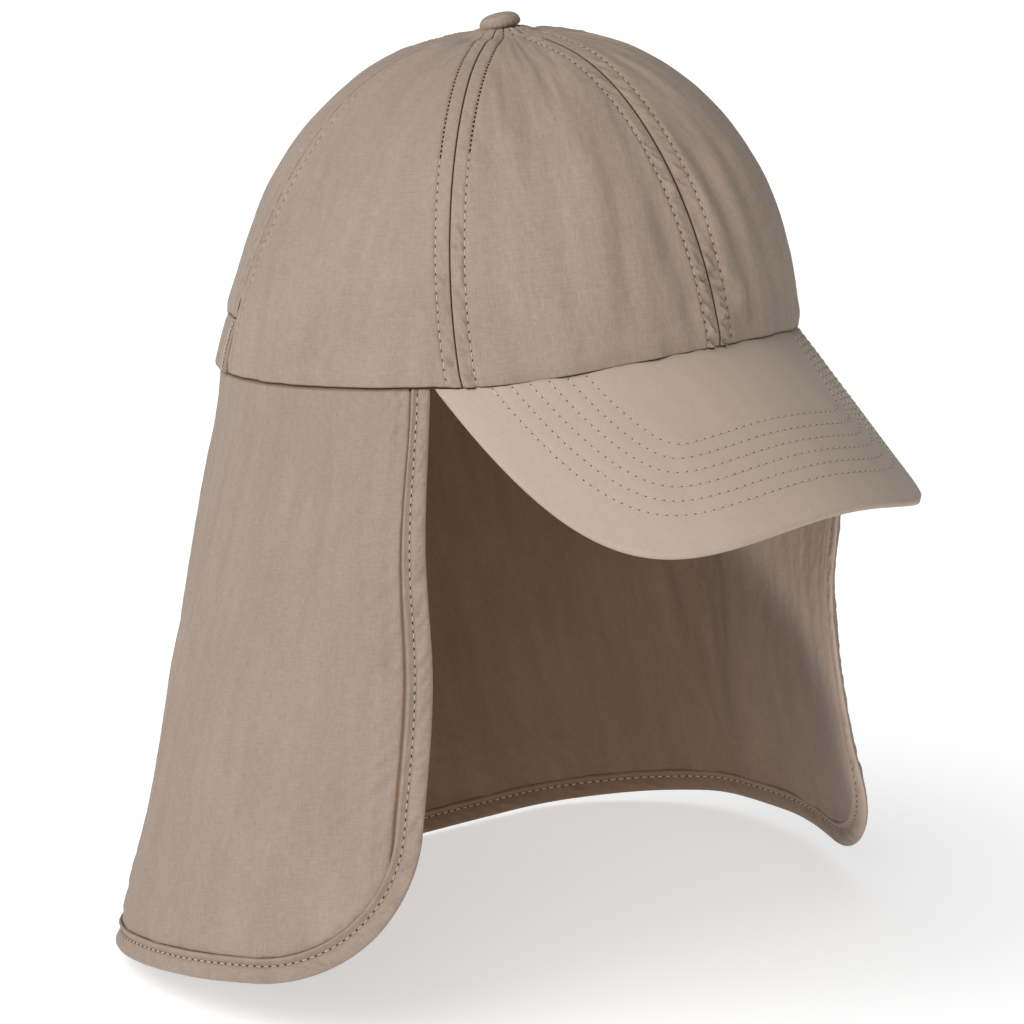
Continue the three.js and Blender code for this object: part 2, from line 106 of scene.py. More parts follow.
# Casing and button
CASING_HEIGHT = 18.0
CASING_BULGE = 1.5
CASING_GATHERS = 16
CASING_GATHER_DEPTH = 1.3
CASING_OVERLAP = 0.4
BUTTON_RADIUS = 6.6
BUTTON_LIFT = 0.2
BUTTON_TILT = math.radians(-8)
BUTTON_TILT_AXIS = (0.65, 0.76, 0.0)

# Neck cape and hem
CAPE_LENGTH = 183.2
CAPE_INSET = 0.6
CAPE_FOLD_DEPTH = 2.0
CAPE_SAG_START = 0.55
CAPE_FROM_PEAK = 2.0
CAPE_WIDEST_SHARE = 0.72
FOLD_START_LEVEL = 0.16
HEM_WIDTH = 8.4
CAPE_SECTIONS = {
    "width": (1.0, 1.105, 1.245, 1.375, 1.52),
    "widest_y": (0.0, 0.024, 0.065, 0.08, 0.036),
    "back": (1.0, 1.02, 0.965, 0.886, 0.834),
    "fullness": (0.552, 0.58, 0.625, 0.7, 0.81),
    "edge_x": (1.0, 1.18, 1.155, 1.25, 1.41),
    "edge_y": (1.0, 1.27, 1.29, 1.35, 1.475),
    "edge_turn": (0.0, 5.0, 9.0, 2.0, -18.0),
}
CAPE_FOLDS = (
    {"side": -1, "place": 0.52, "width": 0.07, "level": 0.4, "run": 0.35, "depth": 0.8},
    {"side": -1, "place": 0.76, "width": 0.06, "level": 0.75, "run": 0.35, "depth": -0.7},
    {"side": 1, "place": 0.9, "width": 0.05, "level": 0.42, "run": 0.25, "depth": -1.1},
    {"side": 1, "place": 0.6, "width": 0.07, "level": 0.8, "run": 0.4, "depth": 0.9},
    {"side": 1, "place": 0.25, "width": 0.08, "level": 0.9, "run": 0.5, "depth": 1.0},
    {"side": -1, "place": 0.2, "width": 0.08, "level": 0.9, "run": 0.5, "depth": -1.0},
)

# Where each seam runs: the turn from the front at the rim, and how far it bows on the way up
SEAMS = {
    "front": (0.0, 0.0),
    "side_left": (52.9, 3.2),
    "side_right": (-52.9, -3.2),
    "rear_left": (118.7, -5.2),
    "rear_right": (-118.7, 5.2),
    "back_left": (180.0, 0.0),
    "back_right": (-180.0, 0.0),
}
PANELS = (
    {"side": "front_right", "from": "side_right", "to": "front", "swell": 0.1, "casing": False},
    {"side": "front_left", "from": "front", "to": "side_left", "swell": 1.0, "casing": False},
    {"side": "side_left", "from": "side_left", "to": "rear_left", "swell": 0.12, "casing": False},
    {"side": "back_left", "from": "rear_left", "to": "back_left", "swell": 0.1, "casing": True},
    {"side": "back_right", "from": "back_right", "to": "rear_right", "swell": 0.03, "casing": True},
    {"side": "side_right", "from": "rear_right", "to": "side_right", "swell": 0.06, "casing": False},
)

# Hollows and swells that the cloth of each panel has taken on: share of the way round the panel,
# height from the rim, half width, half height, and depth outward
DENTS = {
    "front_right": (
        (0.86, 34, 5, 15, -1.4),
        (0.88, 14, 3, 6, -1.1),
        (0.83, 22, 3, 8, 0.5),
        (0.42, 60, 9, 30, -0.5),
        (0.62, 66, 7, 34, 0.5),
    ),
    "front_left": (
        (0.115, 42, 4.5, 22, 2.2),
        (0.175, 50, 3.6, 20, -2.4),
        (0.23, 38, 4.5, 18, 0.7),
        (0.15, 15, 3.6, 6, 1.8),
        (0.2, 13, 3.2, 7, -2.1),
        (0.11, 6.5, 3.5, 3, -0.8),
        (0.34, 56, 5, 28, -1.2),
        (0.5, 70, 5, 30, 0.5),
    ),
    "side_right": (
        (0.7, 24, 16, 8, 0.5),
        (0.45, 70, 8, 35, -0.5),
    ),
}

# Layers of unevenness: strength, slant, width, height, and what is added to the seed
PANEL_STREAKS = ((0.55, 0, 9, 55, 0), (0.26, 0, 4.2, 30, 11), (0.1, 0, 2.0, 12, 17))
CAPE_RIPPLES = ((1.1, 0, 19, 95, 0), (0.5, 0, 8, 45, 5), (0.1, 0.4, 3.8, 17, 9), (0.05, -0.5, 3.0, 9, 15))
HEM_PUCKERS = ((1, 1.3, 2.8, 6, 91), (0.3, 1.0, 1.5, 4, 95))

# Seams: distance of the topstitch rows, depth of the ditch and how proud the felled band is
SEAM_ROW = 4.7
SEAM_BAND_REACH = 9.0
SEAM_DITCH = 0.7
SEAM_OVERLAP = 0.05
SEAM_BAND_RISE = 0.22
RIM_ROLL = 0.5
FRONT_PUCKERS = 1.35
OTHER_PUCKERS = 0.9
STITCH_PITCH = 2.8
THREAD_RADIUS = 0.17
# Painted shade on the inner faces of the cloth
INNER_SHADE = 0.6

random.seed(7)


def lerp(start, end, share):
    return start + (end - start) * share


def smoothstep(value, low, high):
    share = np.clip((value - low) / (high - low), 0, 1)
    return share * share * (3 - 2 * share)


def bell(value, middle, width):
    """A smooth bump of height 1 around a middle."""
    return np.exp(-(((value - middle) / width) ** 2))


def roll_off(distance, radius):
    """Depth of a quarter-round edge, from 1 at the edge to 0 at the radius."""
    share = np.clip(1 - distance / radius, 0, 1)
    return 1 - np.sqrt(1 - share**2)


def soft_least(value, limit, hardness=4):
    """The smaller of two lengths, with a smooth change from one to the other."""
    return (value**-hardness + limit**-hardness) ** (-1 / hardness)


def smooth_noise(across, up, seed):
    """Smooth noise of about -1 to 1 at each place."""
    across, up = np.broadcast_arrays(across, up)
    values = [2 * noise.noise(Vector((a, b, seed))) for a, b in zip(across.ravel(), up.ravel())]
    return np.array(values).reshape(across.shape)


def layered_noise(across, up, layers, seed):
    """Several layers of smooth noise on top of each other."""
    total = 0.0
    for strength, slant, wide, tall, shift in layers:
        places = (across + slant * up) / wide
        total = total + strength * smooth_noise(places, up / tall, seed + shift)
    return total


def unit(vectors):
    length = np.linalg.norm(vectors, axis=-1, keepdims=True)
    return vectors / np.maximum(length, 1e-9)


def run_length(points):
    """Distance from the first point to each point of a line."""
    steps = np.linalg.norm(np.diff(points, axis=0), axis=-1)
    return np.concatenate([[0.0], np.cumsum(steps)])


def grid_normals(points):
    """Outward normals of a grid whose columns run to the wearer's left and rows run up."""
    return unit(np.cross(np.gradient(points, axis=1), np.gradient(points, axis=0)))


# Shapes of the frame, which the cloth follows


def rim_plane(y):
    return -y * RIM_SLOPE


def rim_plan(turn, inset=0.0):
    angle = np.radians(turn)
    return (HALF_WIDTH - inset) * np.sin(angle), -(HALF_LENGTH - inset) * np.cos(angle)


def peak_cross_drop(x):
    return x * x / (2 * PEAK_CROSS_RADIUS) * (1 + (x / PEAK_TIGHTENING) ** 2)


PEAK_CORNER = rim_plan(PEAK_HALF_TURN)
PEAK_ROOT_HEIGHT = (
    rim_plane(PEAK_CORNER[1])
    - (PEAK_CORNER[1] + HALF_LENGTH) * PEAK_SLOPE
    + peak_cross_drop(PEAK_CORNER[0])
)


def peak_top(x, y):
    return PEAK_ROOT_HEIGHT + (y + HALF_LENGTH) * PEAK_SLOPE - peak_cross_drop(x)


def rim_height(turn):
    x, y = rim_plan(turn)
    return np.where(np.abs(turn) < PEAK_HALF_TURN, peak_top(x, y), rim_plane(y))


def rise_at_height(height):
    return np.arcsin((height / APEX_ABOVE_RIM) ** (1 / SLOPE_ROUNDNESS)) * 2 / math.pi


def shoulder(turn):
    angle = np.radians(turn)
    return SHOULDER_ROUNDNESS - SIDE_LEAN * np.sin(angle) + FRONT_SOFTNESS * np.cos(angle)


def rise_at_hole(turn):
    return np.arccos(HOLE_SPREAD ** (1 / shoulder(turn))) * 2 / math.pi


def back_draw(turn, rise):
    """How far the elastic draws the crown in. It fades out halfway up the crown."""
    behind = smoothstep(np.abs(turn), BACK_DRAW_START, BACK_DRAW_FULL)
    return BACK_DRAW * behind * np.maximum(np.sin(2 * math.pi * rise), 0)


def crown_point(turn, rise, swell=0.0):
    """Places on the crown's outer face. Rise runs from 0 at the rim to 1 at the apex."""
    climb = rise * math.pi / 2
    spread = np.maximum(np.cos(climb), 0) ** shoulder(turn)
    lift = np.sin(climb) ** SLOPE_ROUNDNESS
    rim_x, rim_y = rim_plan(turn)
    angle = np.radians(turn)
    lean = np.minimum((1 - spread) / (1 - HOLE_SPREAD), 1) ** TOP_LEAN_SHARPNESS
    outward = swell - back_draw(turn, rise)
    x = rim_x * spread + TOP_LEAN_ASIDE * lean + outward * np.sin(angle)
    y = rim_y * spread + APEX_BACK * lift - TOP_LEAN_FORWARD * lean - outward * np.cos(angle)
    arch = rim_height(turn) - rim_plane(rim_y)
    z = rim_plane(y) + arch * (1 - lift) + APEX_ABOVE_RIM * lift
    return np.stack(np.broadcast_arrays(x, y, z), axis=-1)


def seam_turn(seam, rise):
    turn, bow = SEAMS[seam]
    return turn + bow * np.sin(math.pi * rise)


# Meshes


def mesh_piece(name, points, faces, material, cloth=None, shade=None):
    """A smooth piece of the cap. Cloth holds each point's place on the cloth in millimetres,
    and shade how much painted shade darkens it, as in a crease or on an inner face; below zero it is
    painted light."""
    mesh = bpy.data.meshes.new(name)
    mesh.from_pydata((np.asarray(points) * MM).tolist(), [], faces)
    mesh.polygons.foreach_set("use_smooth", [True] * len(mesh.polygons))
    if cloth is not None:
        layer = mesh.attributes.new("cloth", "FLOAT_VECTOR", "POINT")
        layer.data.foreach_set("vector", np.asarray(cloth, np.float32).ravel())
    if shade is not None:
        layer = mesh.attributes.new("shade", "FLOAT", "POINT")
        layer.data.foreach_set("value", np.asarray(shade, np.float32).ravel())
    mesh.materials.append(material)
    mesh.update()
    piece = bpy.data.objects.new(name, mesh)
    bpy.context.scene.collection.objects.link(piece)
    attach(piece, "root")
    return piece


def grid_faces(rows, columns, start=0, turned=False):
    faces = []
    for row in range(rows - 1):
        for column in range(columns - 1):
            a = start + row * columns + column
            face = (a, a + 1, a + columns + 1, a + columns)
            faces.append(face[::-1] if turned else face)
    return faces


def border_faces(rows, columns, start):
    """Faces that join the borders of two equal grids, the second of which starts at start."""
    bottom = list(range(columns))
    top = [(rows - 1) * columns + column for column in range(columns)]
    first = [row * columns for row in range(rows)]
    last = [row * columns + columns - 1 for row in range(rows)]
    faces = []
    for line, turned in ((bottom, False), (top, True), (first, True), (last, False)):
        for a, b in zip(line, line[1:]):
            face = (a + start, b + start, b, a)
            faces.append(face[::-1] if turned else face)
    return faces


def wall_piece(name, outer, inner, cloth, shade, material, inner_shade=INNER_SHADE):
    """A closed wall of cloth between two equal grids of points, the inner one darker with painted shade.
    """
    rows, columns = outer.shape[:2]
    count = rows * columns
    points = np.concatenate([outer.reshape(-1, 3), inner.reshape(-1, 3)])
    faces = grid_faces(rows, columns)
    faces += grid_faces(rows, columns, count, turned=True)
    faces += border_faces(rows, columns, count)
    places = np.concatenate([cloth.reshape(-1, 3)] * 2)
    shades = np.concatenate([shade.ravel(), np.broadcast_to(inner_shade, (rows, columns)).ravel()])
    return mesh_piece(name, points, faces, material, places, shades)


class Sewing:
    """Collects the stitches of one piece: short arched threads, and a dark lens of painted shadow at each
    needle hole between them.
    """

    SIDES = 6
    RINGS = 5

    def __init__(self):
        self.thread_points = []
        self.thread_faces = []
        self.hole_points = []
        self.hole_faces = []

    def row(self, line, normals, pitch=STITCH_PITCH, radius=THREAD_RADIUS, hole=(0.34, 0.19),
            proud=0.14, jitter=0.05, fill=0.84):
        """A row of stitches along a line that lies on the cloth. Hole is the half length
        and half width of each needle hole's painted shadow, and fill is the share of the pitch that shows
        as thread."""
        length = run_length(line)
        count = max(int(length[-1] / pitch), 1)
        step = length[-1] / count
        for index in range(count):
            start = (index + (1 - fill) / 2) * step
            places = start + np.linspace(0, fill * step, self.RINGS)
            self.stitch(line, normals, length, places, radius, proud, jitter)
        for index in range(count + 1):
            self.hole(line, normals, length, min(index * step, length[-1]), hole)

    def at(self, values, length, places):
        return np.stack([np.interp(places, length, values[:, axis]) for axis in range(3)], -1)

    def stitch(self, line, normals, length, places, radius, proud, jitter):
        centres = self.at(line, length, places)
        outward = unit(self.at(normals, length, places))
        forward = unit(np.gradient(centres, axis=0))
        sideways = unit(np.cross(outward, forward))
        share = np.linspace(0, math.pi, self.RINGS)
        arch = np.sin(share)
        offset = random.uniform(-jitter, jitter)
        slant = random.uniform(-jitter, jitter)
        centres = centres + outward * (proud * arch - radius * 0.75 * (1 - arch))[:, None]
        centres += sideways * (offset + slant * np.cos(share))[:, None]
        sizes = radius * (0.55 + 0.45 * arch)
        start = len(self.thread_points)
        for centre, out, side, size in zip(centres, outward, sideways, sizes):
            for step in range(self.SIDES):
                angle = 2 * math.pi * step / self.SIDES
                spoke = side * math.cos(angle) + out * math.sin(angle)
                self.thread_points.append(centre + spoke * size)
        sides = self.SIDES
        for ring in range(self.RINGS - 1):
            for step in range(sides):
                a = start + ring * sides + step
                b = start + ring * sides + (step + 1) % sides
                self.thread_faces.append((a, a + sides, b + sides, b))
        self.thread_faces.append(tuple(range(start, start + sides)))
        end = start + (self.RINGS - 1) * sides
        self.thread_faces.append(tuple(range(end, end + sides))[::-1])

    # A dark lens of painted shadow at a needle hole, set just over the cloth
    def hole(self, line, normals, length, place, size):
        half_length, half_width = size
        centre = self.at(line, length, place)
        out = unit(self.at(normals, length, place))
        ahead = self.at(line, length, min(place + 0.5, length[-1]))
        behind = self.at(line, length, max(place - 0.5, 0))
        forward = unit(ahead - behind)
        side = unit(np.cross(out, forward))
        start = len(self.hole_points)
        for step in range(self.SIDES):
            angle = 2 * math.pi * step / self.SIDES
            spoke = forward * half_length * math.cos(angle) + side * half_width * math.sin(angle)
            self.hole_points.append(centre + spoke + out * 0.15)
        self.hole_points.append(centre + out * 0.19)
        self.hole_points.append(centre - out * 0.25)
        top = start + self.SIDES
        for step in range(self.SIDES):
            a = start + step
            b = start + (step + 1) % self.SIDES
            self.hole_faces.append((a, b, top))
            self.hole_faces.append((b, a, top + 1))

    def finish(self, name):
        mesh_piece(name + "_thread", self.thread_points, self.thread_faces, MATERIALS["thread"])
        if self.hole_points:
            mesh_piece(name + "_hole_shadows", self.hole_points, self.hole_faces, MATERIALS["hole"])


# Materials


class Nodes:
    """Short calls for building a node material."""

    def __init__(self, name):
        self.material = bpy.data.materials.new(name)
        self.material.use_nodes = True
        self.tree = self.material.node_tree
        self.shader = self.tree.nodes["Principled BSDF"]

    def put(self, socket, value):
        if isinstance(value, bpy.types.NodeSocket):
            self.tree.links.new(value, socket)
        else:
            socket.default_value = value

    def attribute(self, name, output):
        node = self.tree.nodes.new("ShaderNodeAttribute")
        node.attribute_name = name
        return node.outputs[output]

    def scaled(self, vector, scale):
        node = self.tree.nodes.new("ShaderNodeMapping")
        self.put(node.inputs["Vector"], vector)
        node.inputs["Scale"].default_value = scale
        return node.outputs["Vector"]

    def noise(self, vector, scale=1.0, detail=2.0, roughness=0.5):
        node = self.tree.nodes.new("ShaderNodeTexNoise")
        self.put(node.inputs["Vector"], vector)
        node.inputs["Scale"].default_value = scale
        node.inputs["Detail"].default_value = detail
        node.inputs["Roughness"].default_value = roughness
        return node.outputs["Fac"]

    def math(self, operation, first, second=0.0, clamp=False):
        node = self.tree.nodes.new("ShaderNodeMath")
        node.operation = operation
        node.use_clamp = clamp
        self.put(node.inputs[0], first)
        self.put(node.inputs[1], second)
        return node.outputs[0]

    def ramp(self, value, low, high):
        node = self.tree.nodes.new("ShaderNodeMapRange")
        self.put(node.inputs["Value"], value)
        node.inputs["To Min"].default_value = low
        node.inputs["To Max"].default_value = high
        return node.outputs["Result"]

    def mix_colour(self, share, first, second, blend="MIX"):
        node = self.tree.nodes.new("ShaderNodeMix")
        node.data_type = "RGBA"
        node.blend_type = blend
        self.put(node.inputs[0], share)
        self.put(node.inputs[6], first)
        self.put(node.inputs[7], second)
        return node.outputs[2]

    def wave(self, vector, direction, pitch):
        node = self.tree.nodes.new("ShaderNodeTexWave")
        node.bands_direction = direction
        self.put(node.inputs["Vector"], vector)
        node.inputs["Scale"].default_value = 2 * math.pi / (20 * pitch)
        node.inputs["Distortion"].default_value = 0.6
        node.inputs["Detail"].default_value = 1.0
        return node.outputs["Fac"]

    def bump(self, height, strength, distance, normal=None):
        node = self.tree.nodes.new("ShaderNodeBump")
        node.inputs["Strength"].default_value = strength
        node.inputs["Distance"].default_value = distance * MM
        self.put(node.inputs["Height"], height)
        if normal is not None:
            self.put(node.inputs["Normal"], normal)
        return node.outputs["Normal"]


def colour(red, green, blue):
    """A colour given in the eight-bit values of a screen."""
    values = []
    for value in (red, green, blue):
        share = value / 255
        values.append(share / 12.92 if share <= 0.04045 else ((share + 0.055) / 1.055) ** 2.4)
    return (*values, 1.0)


# Colours of painted shade in hollows, of painted shade on inner faces, and of painted light on the cape's
# inner face
PAINTED_SHADE_COLOUR = colour(36, 25, 18)
INSIDE_PAINTED_SHADE = (0.624, 0.508, 0.4, 1.0)
PAINTED_BACKLIGHT_COLOUR = colour(218, 194, 174)


def cloth_material(name, light, dark, crinkle=0.5, weave=0.5, roughness=0.8):
    """Plain woven cloth: crossing threads, long soft streaks, small crinkles and slubs in the yarn,
    with painted shade in the hollows at the seams and on the inner faces, and painted light where the
    shade is below zero."""
    nodes = Nodes(name)
    place = nodes.attribute("cloth", "Vector")
    painted_shade = nodes.attribute("shade", "Fac")
    streaks = nodes.noise(nodes.scaled(place, (0.14, 0.022, 1)), detail=4, roughness=0.6)
    clouds = nodes.noise(nodes.scaled(place, (0.03, 0.03, 1)), detail=2)
    warp_slub = nodes.noise(nodes.scaled(place, (1.7, 0.3, 1)), detail=2)
    weft_slub = nodes.noise(nodes.scaled(place, (0.3, 1.7, 1)), detail=2)
    slubs = nodes.math("ADD", warp_slub, weft_slub)
    mottle = nodes.math("ADD", nodes.math("MULTIPLY", streaks, 0.9), nodes.math("MULTIPLY", clouds, 0.5))
    mottle = nodes.math("ADD", mottle, nodes.math("MULTIPLY", slubs, 0.8))
    share = nodes.ramp(nodes.math("SUBTRACT", mottle, 1.0), 0.0, 1.0)
    tint = nodes.mix_colour(share, dark, light)
    # Painted shade: up to the inner faces' value the shade attribute darkens with a brown tint, above it
    # towards near black, and below zero it paints a paler light
    inside = nodes.math("DIVIDE", painted_shade, INNER_SHADE, clamp=True)
    deep = nodes.math("MULTIPLY", nodes.math("SUBTRACT", painted_shade, INNER_SHADE), 2.5, clamp=True)
    inside_painted_shade = nodes.mix_colour(inside, tint, INSIDE_PAINTED_SHADE, blend="MULTIPLY")
    shaded = nodes.mix_colour(deep, inside_painted_shade, PAINTED_SHADE_COLOUR)
    painted_backlight = nodes.math("MULTIPLY", painted_shade, -1.0, clamp=True)
    shaded = nodes.mix_colour(painted_backlight, shaded, PAINTED_BACKLIGHT_COLOUR)
    nodes.put(nodes.shader.inputs["Base Color"], shaded)
    rough = nodes.ramp(slubs, roughness - 0.12, roughness + 0.08)
    nodes.put(nodes.shader.inputs["Roughness"], rough)
    nodes.shader.inputs["Sheen Weight"].default_value = 0.12
    nodes.shader.inputs["Sheen Roughness"].default_value = 0.4
    nodes.shader.inputs["Specular IOR Level"].default_value = 0.25
    warp = nodes.wave(place, "X", 0.5)
    weft = nodes.wave(place, "Y", 0.5)
    threads = nodes.math("ADD", nodes.math("MULTIPLY", warp, weft), nodes.math("MULTIPLY", slubs, 0.5))
    fine = nodes.bump(threads, weave, 0.1)
    creases = nodes.noise(nodes.scaled(place, (0.34, 0.15, 1)), detail=5, roughness=0.62)
    creased = nodes.bump(creases, crinkle, 1.2, fine)
    nodes.put(nodes.shader.inputs["Normal"], creased)
    return nodes.material


def thread_material():
    """Spun polyester thread with a fine twist."""
    nodes = Nodes("sewing_thread")
    place = nodes.tree.nodes.new("ShaderNodeTexCoord").outputs["Object"]
    fibres = nodes.noise(nodes.scaled(place, (2600, 2600, 2600)), detail=2)
    tint = nodes.mix_colour(fibres, colour(168, 150, 134), colour(212, 197, 182))
    nodes.put(nodes.shader.inputs["Base Color"], tint)
    nodes.put(nodes.shader.inputs["Roughness"], nodes.ramp(fibres, 0.45, 0.7))
    nodes.shader.inputs["Sheen Weight"].default_value = 0.1
    nodes.put(nodes.shader.inputs["Normal"], nodes.bump(fibres, 0.4, 0.1))
    return nodes.material


def hole_shadow_material():
    """The needle hole between two stitches, coloured dark as painted shadow of the dimple that the thread
    pulls in.
    """
    nodes = Nodes("needle_hole_shadow")
    place = nodes.tree.nodes.new("ShaderNodeTexCoord").outputs["Object"]
    fibres = nodes.noise(nodes.scaled(place, (1800, 1800, 1800)), detail=1)
    tint = nodes.mix_colour(fibres, colour(38, 27, 19), colour(70, 53, 41))
    nodes.put(nodes.shader.inputs["Base Color"], tint)
    nodes.shader.inputs["Roughness"].default_value = 0.95
    nodes.shader.inputs["Specular IOR Level"].default_value = 0.0
    return nodes.material


CLOTH_LIGHT = colour(164, 147, 133)
CLOTH_DARK = colour(140, 124, 111)
CAPE_LIGHT = colour(160, 143, 130)
CAPE_DARK = colour(136, 120, 107)

MATERIALS = {
    "crown": cloth_material("crown_cloth", CLOTH_LIGHT, CLOTH_DARK, crinkle=0.3),
    # Painted light: the peak is the same cloth as the crown, coloured lighter because it faces up into
    # the light
    "peak": cloth_material(
        "peak_cloth", colour(178, 162, 148), colour(167, 151, 137), crinkle=0.08, weave=0.3
    ),
    "cape": cloth_material("cape_cloth", CAPE_LIGHT, CAPE_DARK),
    "hem": cloth_material("hem_cloth", CAPE_LIGHT, CAPE_DARK),
    "casing": cloth_material("casing_cloth", CLOTH_LIGHT, CLOTH_DARK),
    "button": cloth_material("button_cloth", CLOTH_LIGHT, CLOTH_DARK, crinkle=0.3),
    "thread": thread_material(),
    "hole": hole_shadow_material(),
}


# Crown

PANEL_ROWS = 210
RIM_ROWS = (0.0, 0.15, 0.4, 0.75, 1.2, 1.8)
BAND_COLUMNS = (0.0, 0.02, 0.05, 0.09, 0.2, 0.38, 0.56, 0.72, 0.84, 0.92, 1.0)
BESIDE_COLUMNS = (0.08, 0.17, 0.3, 0.55, 1.0)
MIDDLE_COLUMNS = 30
ROW_COLUMN = len(BAND_COLUMNS) - 1
PANEL_WALL = 1.0


def panel_rows(base, middle):
    """Shares of the way up a panel at which its rows of points lie, and their heights."""
    fine = np.linspace(0, 1, 500)
    length = run_length(crown_point(middle, lerp(base, rise_at_hole(middle), fine)))
    even = np.linspace(RIM_ROWS[-1] + 1, length[-1], PANEL_ROWS)
    heights = np.concatenate([RIM_ROWS, even])
    return np.interp(heights, length, fine), heights


def panel_grid(panel):
    """Turn, rise and the share across for each point of a panel, the distance to its nearest
    seam in real and in row terms, its width at each row and the height of each row."""
    base = float(rise_at_height(CASING_HEIGHT + GAP - CASING_OVERLAP if panel["casing"] else GAP))
    middle = (SEAMS[panel["from"]][0] + SEAMS[panel["to"]][0]) / 2
    shares, heights = panel_rows(base, middle)
    turns, rises, acrosses, distances, widths = [], [], [], [], []
    for share in shares:
        rough = lerp(base, rise_at_hole(middle), share)
        start, end = seam_turn(panel["from"], rough), seam_turn(panel["to"], rough)
        probe = np.linspace(start, end, 61)
        away = run_length(crown_point(probe, lerp(base, rise_at_hole(probe), share)))
        width = away[-1]
        row = soft_least(0.36 * width, SEAM_ROW)
        reach = soft_least(0.47 * width, SEAM_BAND_REACH)
        half = np.concatenate([np.array(BAND_COLUMNS) * row, lerp(row, reach, np.array(BESIDE_COLUMNS))])
        half[0] = -SEAM_OVERLAP
        inside = np.linspace(half[-1], width - half[-1], MIDDLE_COLUMNS + 2)[1:-1]
        places = np.concatenate([half, inside, width - half[::-1]])
        turn = np.interp(places, away, probe)
        nearest = np.minimum(places, width - places)
        turns.append(turn)
        rises.append(lerp(base, rise_at_hole(turn), share))
        acrosses.append((turn - start) / (end - start))
        distances.append(nearest / row * SEAM_ROW)
        widths.append(width)
    grids = [np.array(grid) for grid in (turns, rises, acrosses, distances)]
    return (*grids, np.array(widths)[:, None], heights[:, None])


def seam_relief(distance, height, across, tightness, seed):
    """Height of the cloth beside a seam: the ditch, the proud band, the sunk row of stitches
    and the puckers that the thread pulls up, which are as high as it is tight."""
    band = smoothstep(distance, 0.2, 1.4) * (1 - smoothstep(distance, 3.9, 4.7))
    relief = -SEAM_DITCH * roll_off(distance, 0.42)
    relief += SEAM_BAND_RISE * band
    relief -= 0.32 * bell(distance, SEAM_ROW, 0.5)
    relief += 0.16 * smoothstep(distance, 4.9, 5.6) * (1 - smoothstep(distance, 5.9, 8.0))
    side = np.where(across < 0.5, 1.0, -1.0)
    slanted = height + side * distance * 1.1
    lively = 0.35 + 0.65 * (smooth_noise(height / 26 + side * 9, side, seed) > 0.0)
    pucker = smooth_noise(slanted / 1.9, distance / 4 + side * 5, seed + 3)
    window = smoothstep(distance, 0.4, 1.6) * (1 - smoothstep(distance, 3.5, 4.6))
    window = window + 0.25 * smoothstep(distance, 5.0, 6.0) * (1 - smoothstep(distance, 6.0, 12.0))
    low_down = 0.5 + 0.5 * (1 - smoothstep(height, 30, 70))
    return relief + tightness * pucker * window * lively * low_down


def seam_tightness(panel, across):
    """How high the puckers stand at each point, by the seam that it is nearer to."""
    ends = [FRONT_PUCKERS if panel[end] == "front" else OTHER_PUCKERS for end in ("from", "to")]
    return np.where(across < 0.5, *ends)


def panel_relief(panel, across, distance, width, height, radius, seed):
    """Height of a panel's cloth above the frame's smooth shape, outward. Radius is the distance
    from the middle of the top."""
    spread = (across - 0.5) * (0.45 * width + 32)
    streaks = layered_noise(spread, height, PANEL_STREAKS, seed)
    cross = 0.07 * smooth_noise(spread / 16, height / 3.6, seed + 23) * bell(height, 8, 16)
    relief = (streaks + cross) * smoothstep(distance, 3.0, 11.0)
    relief += seam_relief(distance, height, across, seam_tightness(panel, across), seed + 31)
    for place, middle, wide, tall, depth in DENTS.get(panel["side"], ()):
        beside = (across - place) * width
        relief += depth * bell(beside, 0, wide) * bell(height, middle, tall)
    gathers = smooth_noise(across * 7, radius / 14, seed + 41)
    relief += 0.4 * gathers * bell(radius, 17, 9) * smoothstep(distance, 1.5, 5.0)
    relief += 0.7 * bell(radius, 7, 3.2) - 0.8 * bell(radius, 12.5, 3.2)
    relief -= 0.7 * bell(radius, 24, 14)
    relief -= RIM_ROLL * roll_off(height, RIM_ROLL)
    relief += 0.3 * bell(height, 4.5, 3.5) - 0.25 * bell(height, 0, 2)
    return relief


def crown_panel(panel, seed):
    """One panel, and the lines of its two topstitch rows with their normals."""
    turn, rise, across, distance, width, height = panel_grid(panel)
    swell = PANEL_SWELL * panel["swell"] * np.sin(math.pi * across) * np.sin(math.pi * rise)
    smooth = crown_point(turn, rise, swell)
    normals = grid_normals(smooth)
    radius = np.hypot(smooth[..., 0] - APEX[0], smooth[..., 1] - APEX[1])
    relief = panel_relief(panel, across, distance, width, height, radius, seed)
    outer = smooth + normals * relief[..., None]
    inner = smooth + normals * (np.minimum(relief, 0) - PANEL_WALL)[..., None]
    cloth = np.stack([(across - 0.5) * width, height + 0 * across, 0 * across + seed], -1)
    # Painted shade: dark in the seam ditch, a little darker along the stitch rows, and dark along the rim
    # line
    shade = 1 - smoothstep(distance, 0.12, 0.38) + 0.3 * bell(distance, SEAM_ROW, 0.4)
    shade = np.clip(shade + 1 - smoothstep(height, 0.4, 0.85), 0, 1)
    piece = wall_piece(
        "crown_" + panel["side"], outer, inner, cloth, shade, MATERIALS["crown"]
    )
    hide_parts("crown_panel_" + panel["side"])
    bent = grid_normals(outer)
    columns = (ROW_COLUMN, outer.shape[1] - 1 - ROW_COLUMN)
    return [(outer[:, column], bent[:, column]) for column in columns]


# High on the side seams the stitches are short and pulled tight; their dark dashes are long needle hole
# lenses of painted shadow
SIDE_SEAMS = ("side_left", "side_right")
PULLED_FROM = 0.52
PULLED_STITCH = {"pitch": 1.7, "radius": 0.12, "hole": (0.55, 0.36), "proud": 0.0, "fill": 0.3}


